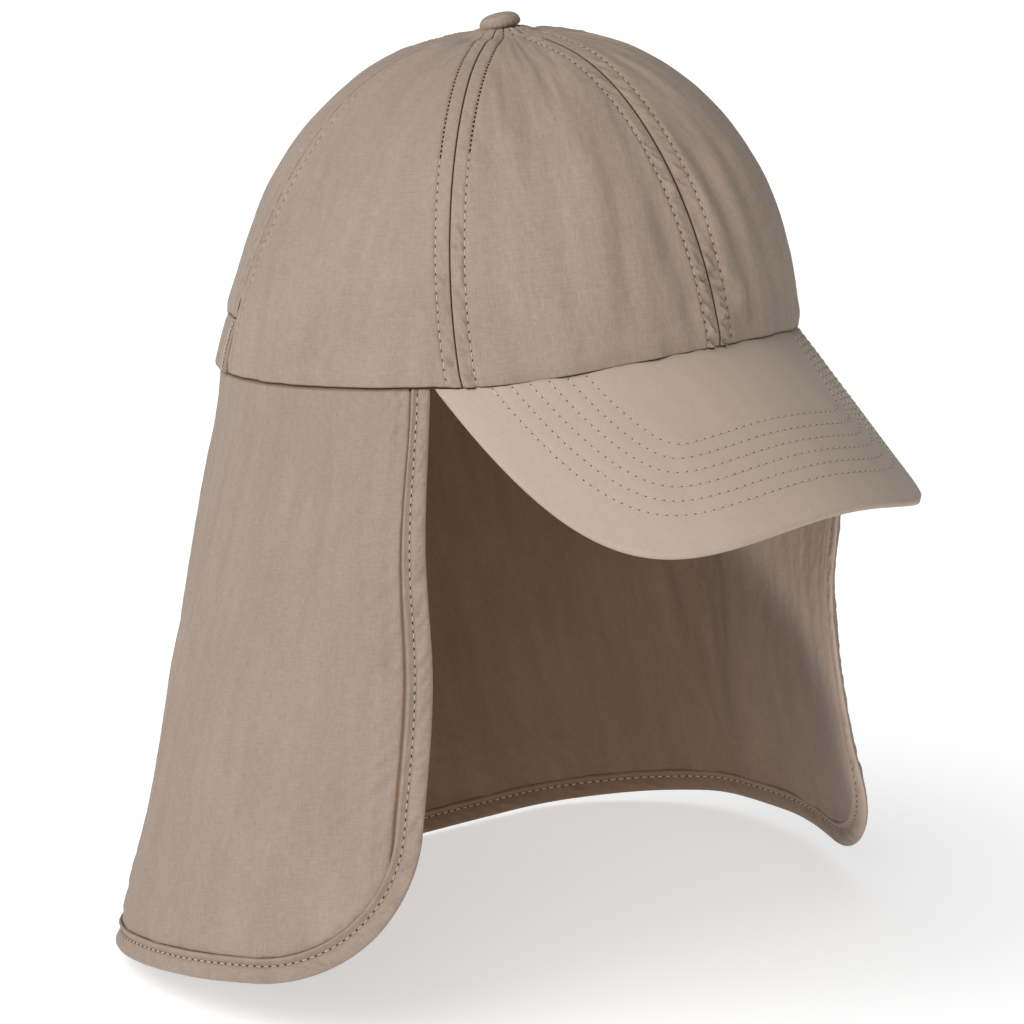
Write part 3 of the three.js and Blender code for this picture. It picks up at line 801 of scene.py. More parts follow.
def crown():
    sewing = Sewing()
    for index, panel in enumerate(PANELS):
        rows = crown_panel(panel, 3.7 + 13.1 * index)
        for seam, (line, normals) in zip((panel["from"], panel["to"]), rows):
            pulled = int(PULLED_FROM * len(line)) if seam in SIDE_SEAMS else len(line)
            sewing.row(line[1:pulled], normals[1:pulled])
            if pulled < len(line):
                sewing.row(line[pulled:], normals[pulled:], **PULLED_STITCH)
    sewing.finish("crown_seams")


# Back casing

CASING_ROWS = 26
CASING_COLUMNS = 560
CASING_WALL = 1.4
CASING_STITCH_HEIGHT = CASING_HEIGHT - 2.6
BARTACK_COLUMNS = ((2, 7), (-3, -8))
BARTACK_STITCH = {"pitch": 1.1, "hole": (0.28, 0.26), "proud": 0.45}


def casing_grid(up, across):
    """Turn and rise of each point of the casing, which runs from one rear seam to the other."""
    rise = rise_at_height(lerp(GAP, CASING_HEIGHT + GAP, up))
    start, bow = SEAMS["rear_left"]
    clearance = math.degrees(GAP / 2 / MEAN_RADIUS)
    turn = lerp(start + clearance, 360 - start - clearance, across)
    turn = turn + lerp(bow, -bow, across) * np.sin(math.pi * rise)
    return np.where(turn > 180, turn - 360, turn), rise + 0 * turn


def casing_relief(up, across, gather, flat_ends, bulge):
    """Height of the casing's cloth: gathers on a bulge, and a sunk row of stitches."""
    strength = 0.75 + 0.45 * smooth_noise(across * 11, up * 1.5, 67.0)
    relief = bulge * CASING_BULGE
    relief = relief + CASING_GATHER_DEPTH * (gather - 0.5) * strength * flat_ends * (0.4 + 0.6 * bulge)
    relief += 0.2 * smooth_noise(across * 60, up * 2, 71.0) * flat_ends * bulge
    height = up * CASING_HEIGHT
    relief -= 0.5 * bell(height, CASING_STITCH_HEIGHT, 0.6) * (0.4 + 0.6 * flat_ends)
    return relief - (0.6 * roll_off(CASING_HEIGHT - height, 0.8) + 1.0 * roll_off(height, 1.4))


def casing_stitches(outer):
    """The row along the top of the casing, and a zigzag bar at each end."""
    sewing = Sewing()
    normals = grid_normals(outer)
    row = round((CASING_ROWS - 1) * CASING_STITCH_HEIGHT / CASING_HEIGHT)
    sewing.row(outer[row, 8:-8], normals[row, 8:-8])
    rows = np.arange(2, CASING_ROWS - 2)
    for even, odd in BARTACK_COLUMNS:
        columns = np.where(rows % 2, odd, even)
        sewing.row(outer[rows, columns], normals[rows, columns], **BARTACK_STITCH)
    sewing.finish("casing_seams")


def back_casing():
    up = np.linspace(0, 1, CASING_ROWS)[:, None]
    across = np.linspace(0, 1, CASING_COLUMNS)[None, :]
    turn, rise = casing_grid(up, across)
    length = math.radians(360 - 2 * SEAMS["rear_left"][0]) * MEAN_RADIUS
    drift = 0.2 * smooth_noise(across * 6, up * 0.8, 61.0)
    gather = np.abs(np.sin(math.pi * (CASING_GATHERS * across + drift)))
    flat_ends = smoothstep(np.minimum(across, 1 - across) * length, 3.0, 9.0)
    bulge = (1 - up) ** 0.8
    relief = casing_relief(up, across, gather, flat_ends, bulge)
    smooth = crown_point(turn, rise)
    normals = grid_normals(smooth)
    outer = smooth + normals * relief[..., None]
    inner = smooth - normals * (CASING_WALL - 0.4 * np.minimum(relief, 1))[..., None]
    height = up * CASING_HEIGHT
    cloth = np.stack([across * length + 0 * up, height + 0 * across, 0 * across * up], -1)
    # Painted shade at the casing's top and bottom edges and in the valleys of its gathers
    shade = 0.9 * roll_off(CASING_HEIGHT - height, 0.6) + 0.8 * roll_off(height, 0.5)
    shade = np.clip(shade + 0.4 * (1 - gather) ** 2 * flat_ends * (0.4 + 0.6 * bulge), 0, 1)
    piece = wall_piece(
        "back_casing", outer, inner, cloth, shade, MATERIALS["casing"]
    )
    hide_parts("back_elastic_casing")
    casing_stitches(outer)


# Button

BUTTON_SIDES = 96
BUTTON_DOME_STEPS = 12
BUTTON_EDGE_HEIGHT = 1.5
BUTTON_DOME_RISE = 3.5
BUTTON_UNDERSIDE = ((0.62, -0.4), (0.8, 0.15), (0.93, 0.6), (0.985, 1.05))
BUTTON_PLEAT_DEPTH = 0.2


def button_profile():
    """Radius and height of each ring of the button, from underneath up to the top."""
    profile = [(BUTTON_RADIUS * share, height) for share, height in BUTTON_UNDERSIDE]
    for step in range(BUTTON_DOME_STEPS):
        angle = math.radians(90 * step / BUTTON_DOME_STEPS)
        height = BUTTON_EDGE_HEIGHT + BUTTON_DOME_RISE * math.sin(angle) ** 0.9
        profile.append((BUTTON_RADIUS * math.cos(angle) ** 0.75, height))
    return np.array(profile)


def button():
    """A cloth-covered dome, whose cloth is pleated where it is drawn in under the edge."""
    profile = button_profile()
    rows, sides = len(profile), BUTTON_SIDES
    turns = np.linspace(0, 2 * math.pi, sides, endpoint=False)
    radii, heights = profile[:, :1], profile[:, 1:]
    pleats = np.sin(turns * 19 + 1.5 * np.sin(turns * 3)) + 0.5 * np.sin(turns * 31)
    radii = radii + BUTTON_PLEAT_DEPTH * pleats * (1 - smoothstep(heights, 0.2, 2.6))
    radii = radii * (1 + 0.012 * np.sin(2 * turns + 0.6))
    grid = np.stack([radii * np.cos(turns), radii * np.sin(turns), heights + 0 * radii], -1)
    points = np.concatenate([grid.reshape(-1, 3), [(0, 0, -0.8), (0, 0, profile[-1, 1] + 0.06)]])
    faces = []
    for row in range(rows - 1):
        for side in range(sides):
            a = row * sides + side
            b = row * sides + (side + 1) % sides
            faces.append((a, b, b + sides, a + sides))
    bottom, top = rows * sides, rows * sides + 1
    highest = (rows - 1) * sides
    for side in range(sides):
        after = (side + 1) % sides
        faces.append((after, side, bottom))
        faces.append((highest + side, highest + after, top))
    # Painted shade under the edge of the button
    shade = 0.55 * (1 - smoothstep(points[:, 2], 0.1, 1.2))
    lean = Matrix.Rotation(BUTTON_TILT, 3, BUTTON_TILT_AXIS)
    lean = lean @ Matrix.Rotation(-math.atan(RIM_SLOPE), 3, "X")
    placed = points @ np.array(lean.transposed()) + APEX + np.array([0, 0, BUTTON_LIFT])
    piece = mesh_piece("crown_button", placed, faces, MATERIALS["button"], points, shade)
    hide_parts("button")


# Peak


def peak_outline():
    """Half of the peak's free edge in plan, from the nose to the corner, at even steps."""
    nose = -(HALF_LENGTH + PEAK_LENGTH)
    side_handle = PEAK_SIDE_FULLNESS * (PEAK_CORNER[1] - nose)
    controls = np.array([
        (0, nose),
        (PEAK_CORNER[0] * PEAK_NOSE_FULLNESS, nose),
        (PEAK_CORNER[0] * PEAK_SIDE_TAPER, PEAK_CORNER[1] - side_handle),
        PEAK_CORNER,
    ])
    t = np.linspace(0, 1, 800)[:, None]
    weights = ((1 - t) ** 3, 3 * (1 - t) ** 2 * t, 3 * (1 - t) * t * t, t**3)
    curve = sum(weight * control for weight, control in zip(weights, controls))
    return curve, run_length(curve)


OUTLINE, OUTLINE_LENGTH = peak_outline()


def peak_edge(across):
    """Place of the free edge in plan, from the right corner at 0 to the left corner at 1."""
    signed = across * 2 - 1
    place = np.abs(signed) * OUTLINE_LENGTH[-1]
    x = np.sign(signed) * np.interp(place, OUTLINE_LENGTH, OUTLINE[:, 0])
    return x, np.interp(place, OUTLINE_LENGTH, OUTLINE[:, 1])


def peak_plan(across, out):
    """Plan of the peak: out is 0 at the rim and 1 at the free edge."""
    rim_x, rim_y = rim_plan(lerp(-PEAK_HALF_TURN, PEAK_HALF_TURN, across))
    edge_x, edge_y = peak_edge(across)
    near = np.abs(across * 2 - 1) ** PEAK_CORNER_SHARPNESS
    return lerp(rim_x, edge_x, out), lerp(rim_y, edge_y, out) - PEAK_CORNER_WIDTH * out * near


def peak_surface(x, y):
    return np.stack(np.broadcast_arrays(x, y, peak_top(x, y)), -1)


# The peak is bent about straight lines that run down its slope, so it lies flat without stretch
PEAK_HALF_SPAN = np.linspace(0, 90, 400)
PEAK_CROSS_SLOPE = np.gradient(peak_cross_drop(PEAK_HALF_SPAN), PEAK_HALF_SPAN)
PEAK_STRETCH = math.hypot(1, PEAK_SLOPE)
PEAK_UNROLLED = np.concatenate([[0.0], np.cumsum(
    np.diff(PEAK_HALF_SPAN) * np.hypot(1, PEAK_CROSS_SLOPE[1:] / PEAK_STRETCH)
)])


def unroll(x, y):
    """A place of the peak on its cloth laid flat."""
    flat_x = np.sign(x) * np.interp(np.abs(x), PEAK_HALF_SPAN, PEAK_UNROLLED)
    flat_y = PEAK_STRETCH * y - PEAK_SLOPE * peak_cross_drop(x) / PEAK_STRETCH
    return np.stack([flat_x, flat_y], -1)


def roll_up(flat):
    """The place in plan of a place on the flat cloth."""
    x = np.sign(flat[..., 0]) * np.interp(np.abs(flat[..., 0]), PEAK_UNROLLED, PEAK_HALF_SPAN)
    y = (flat[..., 1] + PEAK_SLOPE * peak_cross_drop(x) / PEAK_STRETCH) / PEAK_STRETCH
    return x, y


EDGE_FLAT = unroll(*peak_plan(np.linspace(0, 1, 500), 1.0))


def distance_from_edge(flat):
    """Distance on the flat cloth from each place to the peak's free edge."""
    places = flat.reshape(-1, 2)
    nearest = np.full(len(places), 1e9)
    for point in EDGE_FLAT[::2]:
        nearest = np.minimum(nearest, np.hypot(*(places - point).T))
    return nearest.reshape(flat.shape[:-1])


def peak_row(distance):
    """Plan of one stitch row, a line that keeps its distance from the free edge."""
    forward = unit(np.gradient(EDGE_FLAT, axis=0))
    inward = np.stack([-forward[:, 1], forward[:, 0]], -1)
    line = EDGE_FLAT + inward * distance
    x, y = roll_up(line)
    kept = distance_from_edge(line) > distance - 0.25
    kept &= (x / HALF_WIDTH) ** 2 + (y / HALF_LENGTH) ** 2 > 1.0
    line = line[kept]
    length = run_length(line)
    even = np.arange(0, length[-1], 0.8)
    line = np.stack([np.interp(even, length, line[:, axis]) for axis in range(2)], -1)
    for _ in range(14):
        line[1:-1] = (line[:-2] + 2 * line[1:-1] + line[2:]) / 4
    return roll_up(line)


def peak_normal(x):
    cross = x / PEAK_CROSS_RADIUS * (1 + 2 * (x / PEAK_TIGHTENING) ** 2)
    return unit(np.stack(np.broadcast_arrays(cross, -PEAK_SLOPE, 1.0), -1))


PEAK_COLUMNS = 241
PEAK_TOP_ROWS = 64
PEAK_ROWS_AT = [PEAK_FIRST_ROW + PEAK_ROW_SPACING * index for index in range(PEAK_ROW_COUNT)]
PEAK_STITCH = {"hole": (0.26, 0.2), "proud": 0.22}
PEAK_TOP_SEED = 5.0
PEAK_UNDER_SEED = 9.0


def peak_relief(flat, distance, seed):
    """Height of the peak's cloth: sunk rows of stitches with soft cloth between them."""
    relief = 0.06 * smooth_noise(flat[..., 0] / 22, flat[..., 1] / 14, seed)
    for row in PEAK_ROWS_AT:
        relief = relief - 0.16 * bell(distance, row, 0.9)
    return relief


def peak_faces(count, columns):
    """Faces between the rows that run from the rim over the top, round the free edge and back
    underneath, and those that close the peak at the rim and at both ends."""
    faces = grid_faces(count, columns, turned=True)
    for column in range(columns - 1):
        a, b = column, (count - 1) * columns + column
        faces.append((a, a + 1, b + 1, b))
    for row in range(PEAK_TOP_ROWS - 1):
        far = count - 1 - row
        a, b = row * columns, far * columns
        faces.append((a, a + columns, b - columns, b) if far - row > 2 else (a, a + columns, b))
        a, b = a + columns - 1, b + columns - 1
        faces.append((b, b - columns, a + columns, a) if far - row > 2 else (b, a + columns, a))
    return faces


def peak_stitches():
    """The rows of stitches on the top and on the underside."""
    sewing = Sewing()
    for distance in PEAK_ROWS_AT:
        x, y = peak_row(distance)
        flat = unroll(x, y)
        normal = peak_normal(x)
        surface = peak_surface(x, y)
        above = surface + normal * peak_relief(flat, distance, PEAK_TOP_SEED)[:, None]
        depth = PEAK_THICKNESS + peak_relief(flat, distance, PEAK_UNDER_SEED)
        below = surface - normal * depth[:, None]
        sewing.row(above, normal, **PEAK_STITCH)
        sewing.row(below, -normal, **PEAK_STITCH)
    sewing.finish("peak_seams")


def peak():
    across = np.linspace(0, 1, PEAK_COLUMNS)[None, :]
    out = np.concatenate([[-0.04], np.linspace(0, 1, PEAK_TOP_ROWS - 1) ** 0.9])[:, None]
    x, y = peak_plan(across, out)
    flat = unroll(x, y)
    distance = distance_from_edge(flat)
    normals = peak_normal(x)
    half = PEAK_THICKNESS / 2
    rounding = half * roll_off(distance, half)
    middle = peak_surface(x, y) - normals * half
    top_height = half - rounding + peak_relief(flat, distance, PEAK_TOP_SEED)
    under_height = half - rounding + peak_relief(flat, distance, PEAK_UNDER_SEED)
    above = middle + normals * top_height[..., None]
    below = middle - normals * under_height[..., None]
    above[-1] = middle[-1]
    loop = np.concatenate([above, below[:-1][::-1]])
    cloth = np.concatenate([flat, flat[:-1][::-1]])
    cloth = np.concatenate([cloth, 0 * cloth[..., :1]], -1)
    # Painted shade on the underside just behind the free edge
    seam = 0.5 * bell(np.arange(len(loop)), PEAK_TOP_ROWS + 1, 0.7)[:, None] + 0 * across
    piece = mesh_piece(
        "stitched_peak", loop.reshape(-1, 3), peak_faces(*loop.shape[:2]), MATERIALS["peak"],
        cloth.reshape(-1, 3), seam,
    )
    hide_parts("peak")
    peak_stitches()


# Neck cape


def section(key, level):
    """Smooth value of one row of the cape's sections, which stand at even steps down it."""
    values = CAPE_SECTIONS[key]
    scaled = np.clip(level, 0, 1) * (len(values) - 1)
    index = np.minimum(np.floor(scaled).astype(int), len(values) - 2)
    part = scaled - index
    values = np.array(values)
    before = values[np.maximum(index - 1, 0)]
    start, end = values[index], values[index + 1]
    after = values[np.minimum(index + 2, len(values) - 1)]
    leave, arrive = (end - before) / 2, (after - start) / 2
    cubic = 2 * start - 2 * end + leave + arrive
    square = -3 * start + 3 * end - 2 * leave - arrive
    return cubic * part**3 + square * part**2 + leave * part + start


def bezier(t, *controls):
    first, second, third, last = controls
    weights = ((1 - t) ** 3, 3 * (1 - t) ** 2 * t, 3 * (1 - t) * t * t, t**3)
    return sum(weight * control for weight, control in zip(weights, (first, second, third, last)))


CAPE_EDGE_TURN = PEAK_HALF_TURN + math.degrees(CAPE_FROM_PEAK / MEAN_RADIUS)
CAPE_EDGE = rim_plan(CAPE_EDGE_TURN, CAPE_INSET)
RIM_TURN_AT_EDGE = math.atan2(
    HALF_WIDTH * math.cos(math.radians(CAPE_EDGE_TURN)),
    HALF_LENGTH * math.sin(math.radians(CAPE_EDGE_TURN)),
)


def cape_plan(level, share):
    """Plan of one side of the cape, from the back middle at 0 to the front edge at 1."""
    width = section("width", level) * HALF_WIDTH - CAPE_INSET
    back = section("back", level) * HALF_LENGTH - CAPE_INSET
    widest_y = section("widest_y", level) * HALF_LENGTH
    fullness = section("fullness", level)
    t = np.clip(share / CAPE_WIDEST_SHARE, 0, 1)
    behind_x = bezier(t, 0 * width, width * fullness, width, width)
    behind_y = bezier(t, back, back, lerp(widest_y, back, fullness), widest_y)
    edge_x = section("edge_x", level) * CAPE_EDGE[0]
    edge_y = section("edge_y", level) * CAPE_EDGE[1]
    turn = RIM_TURN_AT_EDGE + np.radians(section("edge_turn", level))
    handle = (widest_y - edge_y) / 3
    t = np.clip((share - CAPE_WIDEST_SHARE) / (1 - CAPE_WIDEST_SHARE), 0, 1)
    ahead_x = bezier(t, width, width, edge_x + handle * np.sin(turn), edge_x)
    ahead_y = bezier(t, widest_y, widest_y - handle, edge_y + handle * np.cos(turn), edge_y)
    behind = share < CAPE_WIDEST_SHARE
    return np.where(behind, behind_x, ahead_x), np.where(behind, behind_y, ahead_y)


CAPE_LEFT_CORNER_SAG = 10.0
SLOPE_STEP = 0.01


def cape_point(along, level):
    """Places on the cape's outer face. Along runs from -1 at the right front edge, through the
    back middle, to 1 at the left front edge, and level from 0 at the rim to 1 at the hem."""
    along, level = np.broadcast_arrays(np.asarray(along, float), np.asarray(level, float))
    side = np.where(along < 0, -1.0, 1.0)
    share = np.abs(along)
    here_x, here_y = cape_plan(level, share)
    ahead_x, ahead_y = cape_plan(level, np.minimum(share + SLOPE_STEP, 1))
    behind_x, behind_y = cape_plan(level, np.maximum(share - SLOPE_STEP, 0))
    outward = unit(np.stack([behind_y - ahead_y, ahead_x - behind_x], -1))
    fold = 0.0
    for row in CAPE_FOLDS:
        across = (along - row["side"] * row["place"]) / row["width"]
        down = (level - row["level"]) / row["run"]
        fold = fold + CAPE_FOLD_DEPTH * row["depth"] * np.exp(-across * across - down * down)
    fold = fold * np.clip(level / FOLD_START_LEVEL, 0, 1)
    x = side * (here_x + outward[..., 0] * fold)
    y = here_y + outward[..., 1] * fold
    sag = CAPE_LEFT_CORNER_SAG * level * smoothstep(share, CAPE_SAG_START, 1)
    z = rim_plane(y) - level * CAPE_LENGTH - np.where(side > 0, sag, 0)
    return np.stack([x, y, z], -1)


def cape_normal(along, level):
    across = cape_point(np.minimum(along + SLOPE_STEP, 1), level)
    across = across - cape_point(np.maximum(along - SLOPE_STEP, -1), level)
    up = cape_point(along, np.maximum(level - SLOPE_STEP, 0))
    up = up - cape_point(along, np.minimum(level + SLOPE_STEP, 1))
    return unit(np.cross(up, across))


def hem_length(side):
    return run_length(cape_point(side * np.linspace(0, 1, 41), 1.0))[-1]


CAPE_SIDES = (
    {"sign": -1, "radius": 47.4, "hem": hem_length(-1)},
    {"sign": 1, "radius": 39.2, "hem": hem_length(1)},
)
CAPE_HALF_COLUMNS = 130
CAPE_CORNER_COLUMNS = 34
CAPE_ROWS = 120
HEM_FINENESS = 2
CAPE_WALL = 1.0
CAPE_HALF_SPAN = 250.0

# Rows of the cape's cloth that lie hidden under the hem: height above its lower edge, and depth
TUCKED_ROWS = ((0.5, 0.2), (1.6, 1.2), (3.0, 1.3))

# Painted light and shade on the cape's inner face: its painted shade fades towards the left front edge,
# and near that edge the inner face is painted paler, as if light shone through the thin cloth;
# a shade below zero stands for that painted light. Lower down, where the cloth curls in, less of it is
# painted pale
FADING_FROM_TO = (0.4, 0.9)
BACKLIT_FROM = (0.64, 0.87)
BACKLIT_LEVELS = (0.38, 0.75)
BACKLIT_BLEND = 0.17
PAINTED_BACKLIGHT_SHADE = -0.6


def inside_of_cape(along, level):
    start = lerp(*BACKLIT_FROM, smoothstep(level, *BACKLIT_LEVELS))
    shade = INNER_SHADE * (1 - 0.6 * smoothstep(along, *FADING_FROM_TO))
    return lerp(shade, PAINTED_BACKLIGHT_SHADE, smoothstep(along - start, 0, BACKLIT_BLEND))


def cape_columns(side, inset, fineness=1):
    """Along and level of the lowest point of each column of one side of the cape."""
    straight = 1 - side["radius"] / side["hem"]
    steps = np.linspace(0, 1, CAPE_HALF_COLUMNS * fineness, endpoint=False)
    along = list(side["sign"] * straight * steps)
    level = list(1 - inset / CAPE_LENGTH + 0 * steps)
    radius = side["radius"] - inset
    for angle in np.radians(np.linspace(90, 0, CAPE_CORNER_COLUMNS * fineness + 1)):
        inward = side["radius"] - radius * math.cos(angle)
        along.append(side["sign"] * (1 - inward / side["hem"]))
        level.append(1 - (side["radius"] - radius * math.sin(angle)) / CAPE_LENGTH)
    return np.array([along, level])


def both_sides(one_side):
    """A line of places from the left front edge, round the back, to the right front edge."""
    right, left = (one_side(side) for side in CAPE_SIDES)
    return np.concatenate([left[:, :0:-1], right], axis=1)


def cape_relief(along, down, seed=83.0):
    """Fine unevenness of the hanging cloth: long soft ripples, then finer crinkles."""
    ripples = layered_noise(along * CAPE_HALF_SPAN, down, CAPE_RIPPLES, seed)
    return ripples * smoothstep(down, 0, 22)


def hem_tugs(along, down, beside, seed=127.0):
    """Short slanting creases where the hem's stitches draw the cloth in."""
    around = along * CAPE_HALF_SPAN
    tugs = smooth_noise((down - 0.9 * beside) / 4.2, beside / 13, seed)
    tugs += 0.8 * smooth_noise((around + 0.8 * beside) / 4.2, beside / 13, seed + 7)
    strength = lerp(0.38, 0.12, smoothstep(along, 0.5, 0.8))
    return strength * tugs * smoothstep(beside, -1, 3) * (1 - smoothstep(beside, 7, 28))


def tucked_rows(edge, normals):
    """Places of the hidden rows behind the cape's lower edge."""
    rows = []
    for rise, inset in TUCKED_ROWS:
        raised = edge - normals * inset
        raised[:, 2] += rise
        rows.append(raised)
    return np.array(rows)


def neck_cape():
    columns = both_sides(lambda side: cape_columns(side, HEM_WIDTH - 1.2))
    up = 1 - np.linspace(1, 0, CAPE_ROWS)[:, None] ** 1.12
    along = columns[0][None, :] + 0 * up
    level = columns[1][None, :] * (1 - up)
    surface = cape_point(along, level)
    normals = cape_normal(along, level)
    down = level * CAPE_LENGTH
    lowest = columns[1][None, :] * CAPE_LENGTH
    hem_nearness = np.minimum(lowest - down, CAPE_HALF_SPAN * (1 - np.abs(along)) - HEM_WIDTH)
    quiet = 0.3 + 0.7 * smoothstep(hem_nearness, 0, 14)
    relief = cape_relief(along, down) * quiet
    relief += hem_tugs(along, down, hem_nearness)
    relief -= 0.4 * bell(hem_nearness, 1.2, 1.6)
    relief += 0.55 * (1 - smoothstep(down, 1, 12))
    outer = surface + normals * relief[..., None]
    inner = outer - normals * CAPE_WALL
    tucked = tucked_rows(surface[-1], normals[-1])
    outer = np.concatenate([outer, tucked])
    inner = np.concatenate([inner, tucked - normals[-1:] * 0.6])
    cloth = np.stack([along * CAPE_HALF_SPAN, -down, 0 * down], -1)
    cloth = np.concatenate([cloth] + [cloth[-1:]] * len(tucked))
    # Painted shade: dark just under the crown's rim, along the fold above the hem, and on the rows hidden
    # under the hem
    shade = 0.6 * (1 - smoothstep(down, 0.0, 0.9)) + 0.85 * bell(hem_nearness, 0.2, 0.7)
    shade = np.concatenate([shade] + [np.full_like(shade[-1:], 0.9)] * len(tucked))
    inner_shade = inside_of_cape(along, level)
    inner_shade = np.concatenate([inner_shade] + [inner_shade[-1:]] * len(tucked))
    piece = wall_piece(
        "neck_cape_cloth", outer, inner, cloth, shade, MATERIALS["cape"],
        inner_shade,
    )
    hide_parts("neck_cape")
    return piece


# Hem: the height of the cloth over the cape's face at each distance from the free edge
HEM_PROFILE = (
    (0.0, -0.55),
    (0.1, -0.2),
    (0.35, 0.14),
    (0.8, 0.4),
    (1.5, 0.56),
    (2.4, 0.62),
    (3.3, 0.52),
    (4.0, 0.3),
    (4.6, 0.02),
    (5.0, -0.14),
    (5.4, -0.16),
    (5.75, -0.02),
    (6.05, 0.3),
    (6.35, 0.6),
    (6.7, 0.74),
    (7.05, 0.62),
    (7.3, 0.3),
    (7.45, -0.05),
    (7.5, -0.4),
)
HEM_ROW = 9
HEM_STITCH = {"hole": (0.42, 0.22), "fill": 0.7}


def hem_path(inset):
    def one_side(side):
        path = cape_columns(side, inset, HEM_FINENESS)
        steps = np.linspace(1, 0, CAPE_ROWS * HEM_FINENESS + 1)[1:]
        rising = np.stack([path[0, -1] + 0 * steps, path[1, -1] * steps])
        return np.concatenate([path, rising], axis=1)

    return both_sides(one_side)


def hem_stitches(outer, inner):
    """The row that holds the hem, on the outer and on the inner face."""
    sewing = Sewing()
    row = len(HEM_PROFILE) - 1 - HEM_ROW
    ends = slice(3, -3)
    outward = -grid_normals(outer)
    sewing.row(outer[row, ends], outward[row, ends], **HEM_STITCH)
    sewing.row(inner[row, ends], -outward[row, ends], **HEM_STITCH)
    sewing.finish("hem_seams")


def cape_hem():
    insets = np.array([inset for inset, _ in HEM_PROFILE])
    insets = insets * HEM_WIDTH / insets[-1]
    paths = np.stack([hem_path(inset) for inset in insets])
    along, level = paths[:, 0], paths[:, 1]
    surface = cape_point(along, level)
    normals = cape_normal(along, level)
    edge = run_length(surface[0])[None, :]
    away = insets[:, None]
    heights = np.array([height for _, height in HEM_PROFILE])[:, None]
    band = smoothstep(away, 0.3, 1.5) * (1 - smoothstep(away, 3.8, 4.9))
    pucker = layered_noise(edge, away, HEM_PUCKERS, 0)
    pucker *= lerp(0.6, 0.3, smoothstep(along, 0.5, 0.8))
    swell = 0.2 * smooth_noise(edge / 16, away / 9, 99.0)
    outer_height = heights + band * (pucker + swell)
    outer_height += 0.12 * smooth_noise(edge / 5, away / 3, 103.0) * bell(away, 6.8, 0.8)
    inner_pucker = smooth_noise((edge - 1.5 * away) / 3.8, away / 6, 107.0)
    inner_height = heights + band * 0.35 * inner_pucker
    outer = surface + normals * outer_height[..., None]
    inner = surface - normals * (inner_height + 1.1)[..., None]
    wave = 0.35 * smooth_noise(edge / 11, 0 * edge, 111.0)
    outer[0] += normals[0] * wave[0][:, None] * 0.4
    inner[0] = outer[0] - normals[0] * 0.02
    outer = outer[::-1]
    inner = inner[::-1]
    away = away[::-1]
    cloth = np.stack([edge + 0 * away, away + 0 * edge, 0 * edge * away], -1)
    # Painted shade along the hem's inner border and along its stitch row; its inner face takes the cape's
    # painted inner shade and light
    shade = bell(away, HEM_WIDTH, 0.3) + 0.5 * bell(away, insets[HEM_ROW], 0.5) + 0 * edge
    piece = wall_piece(
        "cape_hem_band", outer, inner, cloth, shade, MATERIALS["hem"],
        inside_of_cape(along[::-1], level[::-1]),
    )
    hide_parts("cape_hem")
    hem_stitches(outer, inner)
    return piece


# Studio

CAMERA_TURN = 40.565
CAMERA_ELEVATION = 15.578
CAMERA_DISTANCE = 1500.0
CAMERA_AIM_ASIDE = 1.807
CAMERA_AIM_UP = -53.451
FOCAL_SHARE = 4692.781 / 1024
SENSOR_WIDTH = 36.0


def camera_axes():
    turn, elevation = math.radians(CAMERA_TURN), math.radians(CAMERA_ELEVATION)
    look = Vector((
        math.sin(turn) * math.cos(elevation),
        math.cos(turn) * math.cos(elevation),
        -math.sin(elevation),
    ))
    right = Vector((math.cos(turn), -math.sin(turn), 0))
    return look, right, right.cross(look)


def camera():
    look, right, up = camera_axes()
    aim = right * CAMERA_AIM_ASIDE + up * CAMERA_AIM_UP
    data = bpy.data.cameras.new("camera")
    data.sensor_width = SENSOR_WIDTH
    data.lens = FOCAL_SHARE * SENSOR_WIDTH
    data.clip_start = 0.05
    data.clip_end = 50
    seen = bpy.data.objects.new("camera", data)
    axes = Matrix((right, up, -look)).transposed()
    place = (aim - look * CAMERA_DISTANCE) * MM
    seen.matrix_world = Matrix.Translation(place) @ axes.to_4x4()
    bpy.context.scene.collection.objects.link(seen)
    bpy.context.scene.camera = seen


# Wide soft lights, as seen from the camera: the turn to its right and the height, both in degrees
SKY_LIGHTS = (
    {"turn": -60, "height": 50, "strength": 2.9, "sharpness": 10},
    {"turn": 0, "height": 90, "strength": 0.5, "sharpness": 4},
    {"turn": 0, "height": 8, "strength": 1.9, "sharpness": 10},
    {"turn": -45, "height": 15, "strength": 1.1, "sharpness": 2},
)
FLOOR_COLOUR = (0.7, 0.7, 0.7, 1)
FLOOR_GLOW = 0.55
FLOOR_DROP = 0.001


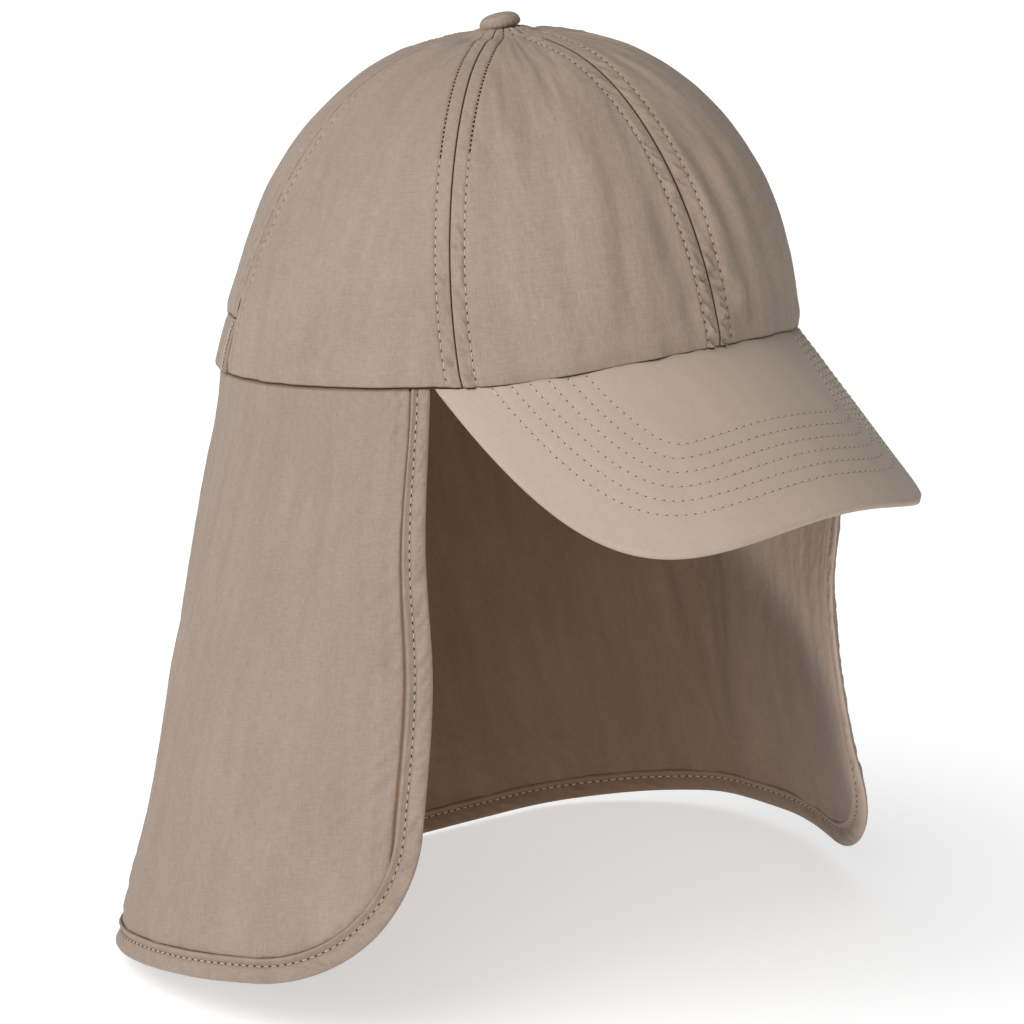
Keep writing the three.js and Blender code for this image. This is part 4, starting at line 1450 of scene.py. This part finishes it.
def light_direction(turn, height):
    look, right, _ = camera_axes()
    towards_camera = -Vector((look.x, look.y, 0)).normalized()
    turn, height = math.radians(turn), math.radians(height)
    level = towards_camera * math.cos(turn) + right * math.sin(turn)
    return level * math.cos(height) + Vector((0, 0, math.sin(height)))


def soft_sky():
    """Light from a few wide soft areas, each brightest in its middle."""
    world = bpy.data.worlds.new("soft_studio")
    world.use_nodes = True
    tree = world.node_tree

    def linked(kind, operation, first, second):
        node = tree.nodes.new(kind)
        node.operation = operation
        tree.links.new(first, node.inputs[0])
        node.inputs[1].default_value = second
        return node

    way = tree.nodes.new("ShaderNodeTexCoord").outputs["Generated"]
    total = None
    for light in SKY_LIGHTS:
        direction = light_direction(light["turn"], light["height"])
        facing = linked("ShaderNodeVectorMath", "DOT_PRODUCT", way, direction).outputs["Value"]
        facing = linked("ShaderNodeMath", "MAXIMUM", facing, 0).outputs[0]
        facing = linked("ShaderNodeMath", "POWER", facing, light["sharpness"]).outputs[0]
        share = linked("ShaderNodeMath", "MULTIPLY", facing, light["strength"]).outputs[0]
        if total is not None:
            both = tree.nodes.new("ShaderNodeMath")
            tree.links.new(total, both.inputs[0])
            tree.links.new(share, both.inputs[1])
            share = both.outputs[0]
        total = share
    background = tree.nodes["Background"]
    background.inputs["Color"].default_value = (1, 1, 1, 1)
    tree.links.new(total, background.inputs["Strength"])
    bpy.context.scene.world = world
    bpy.context.scene.view_settings.view_transform = "Standard"


def floor():
    """A pale table that glows a little, under the lowest edge of the cape."""
    bpy.ops.mesh.primitive_plane_add(size=14, location=(0, 0, float(cad_box[0][2]) - FLOOR_DROP))
    table = bpy.context.object
    table.name = "studio_floor"
    nodes = Nodes("studio_floor")
    nodes.shader.inputs["Base Color"].default_value = FLOOR_COLOUR
    nodes.shader.inputs["Roughness"].default_value = 0.9
    nodes.shader.inputs["Specular IOR Level"].default_value = 0.0
    nodes.shader.inputs["Emission Color"].default_value = (1, 1, 1, 1)
    nodes.shader.inputs["Emission Strength"].default_value = FLOOR_GLOW
    table.data.materials.append(nodes.material)


camera()
soft_sky()
floor()
crown()
back_casing()
button()
peak()
cape = neck_cape()
hem = cape_hem()
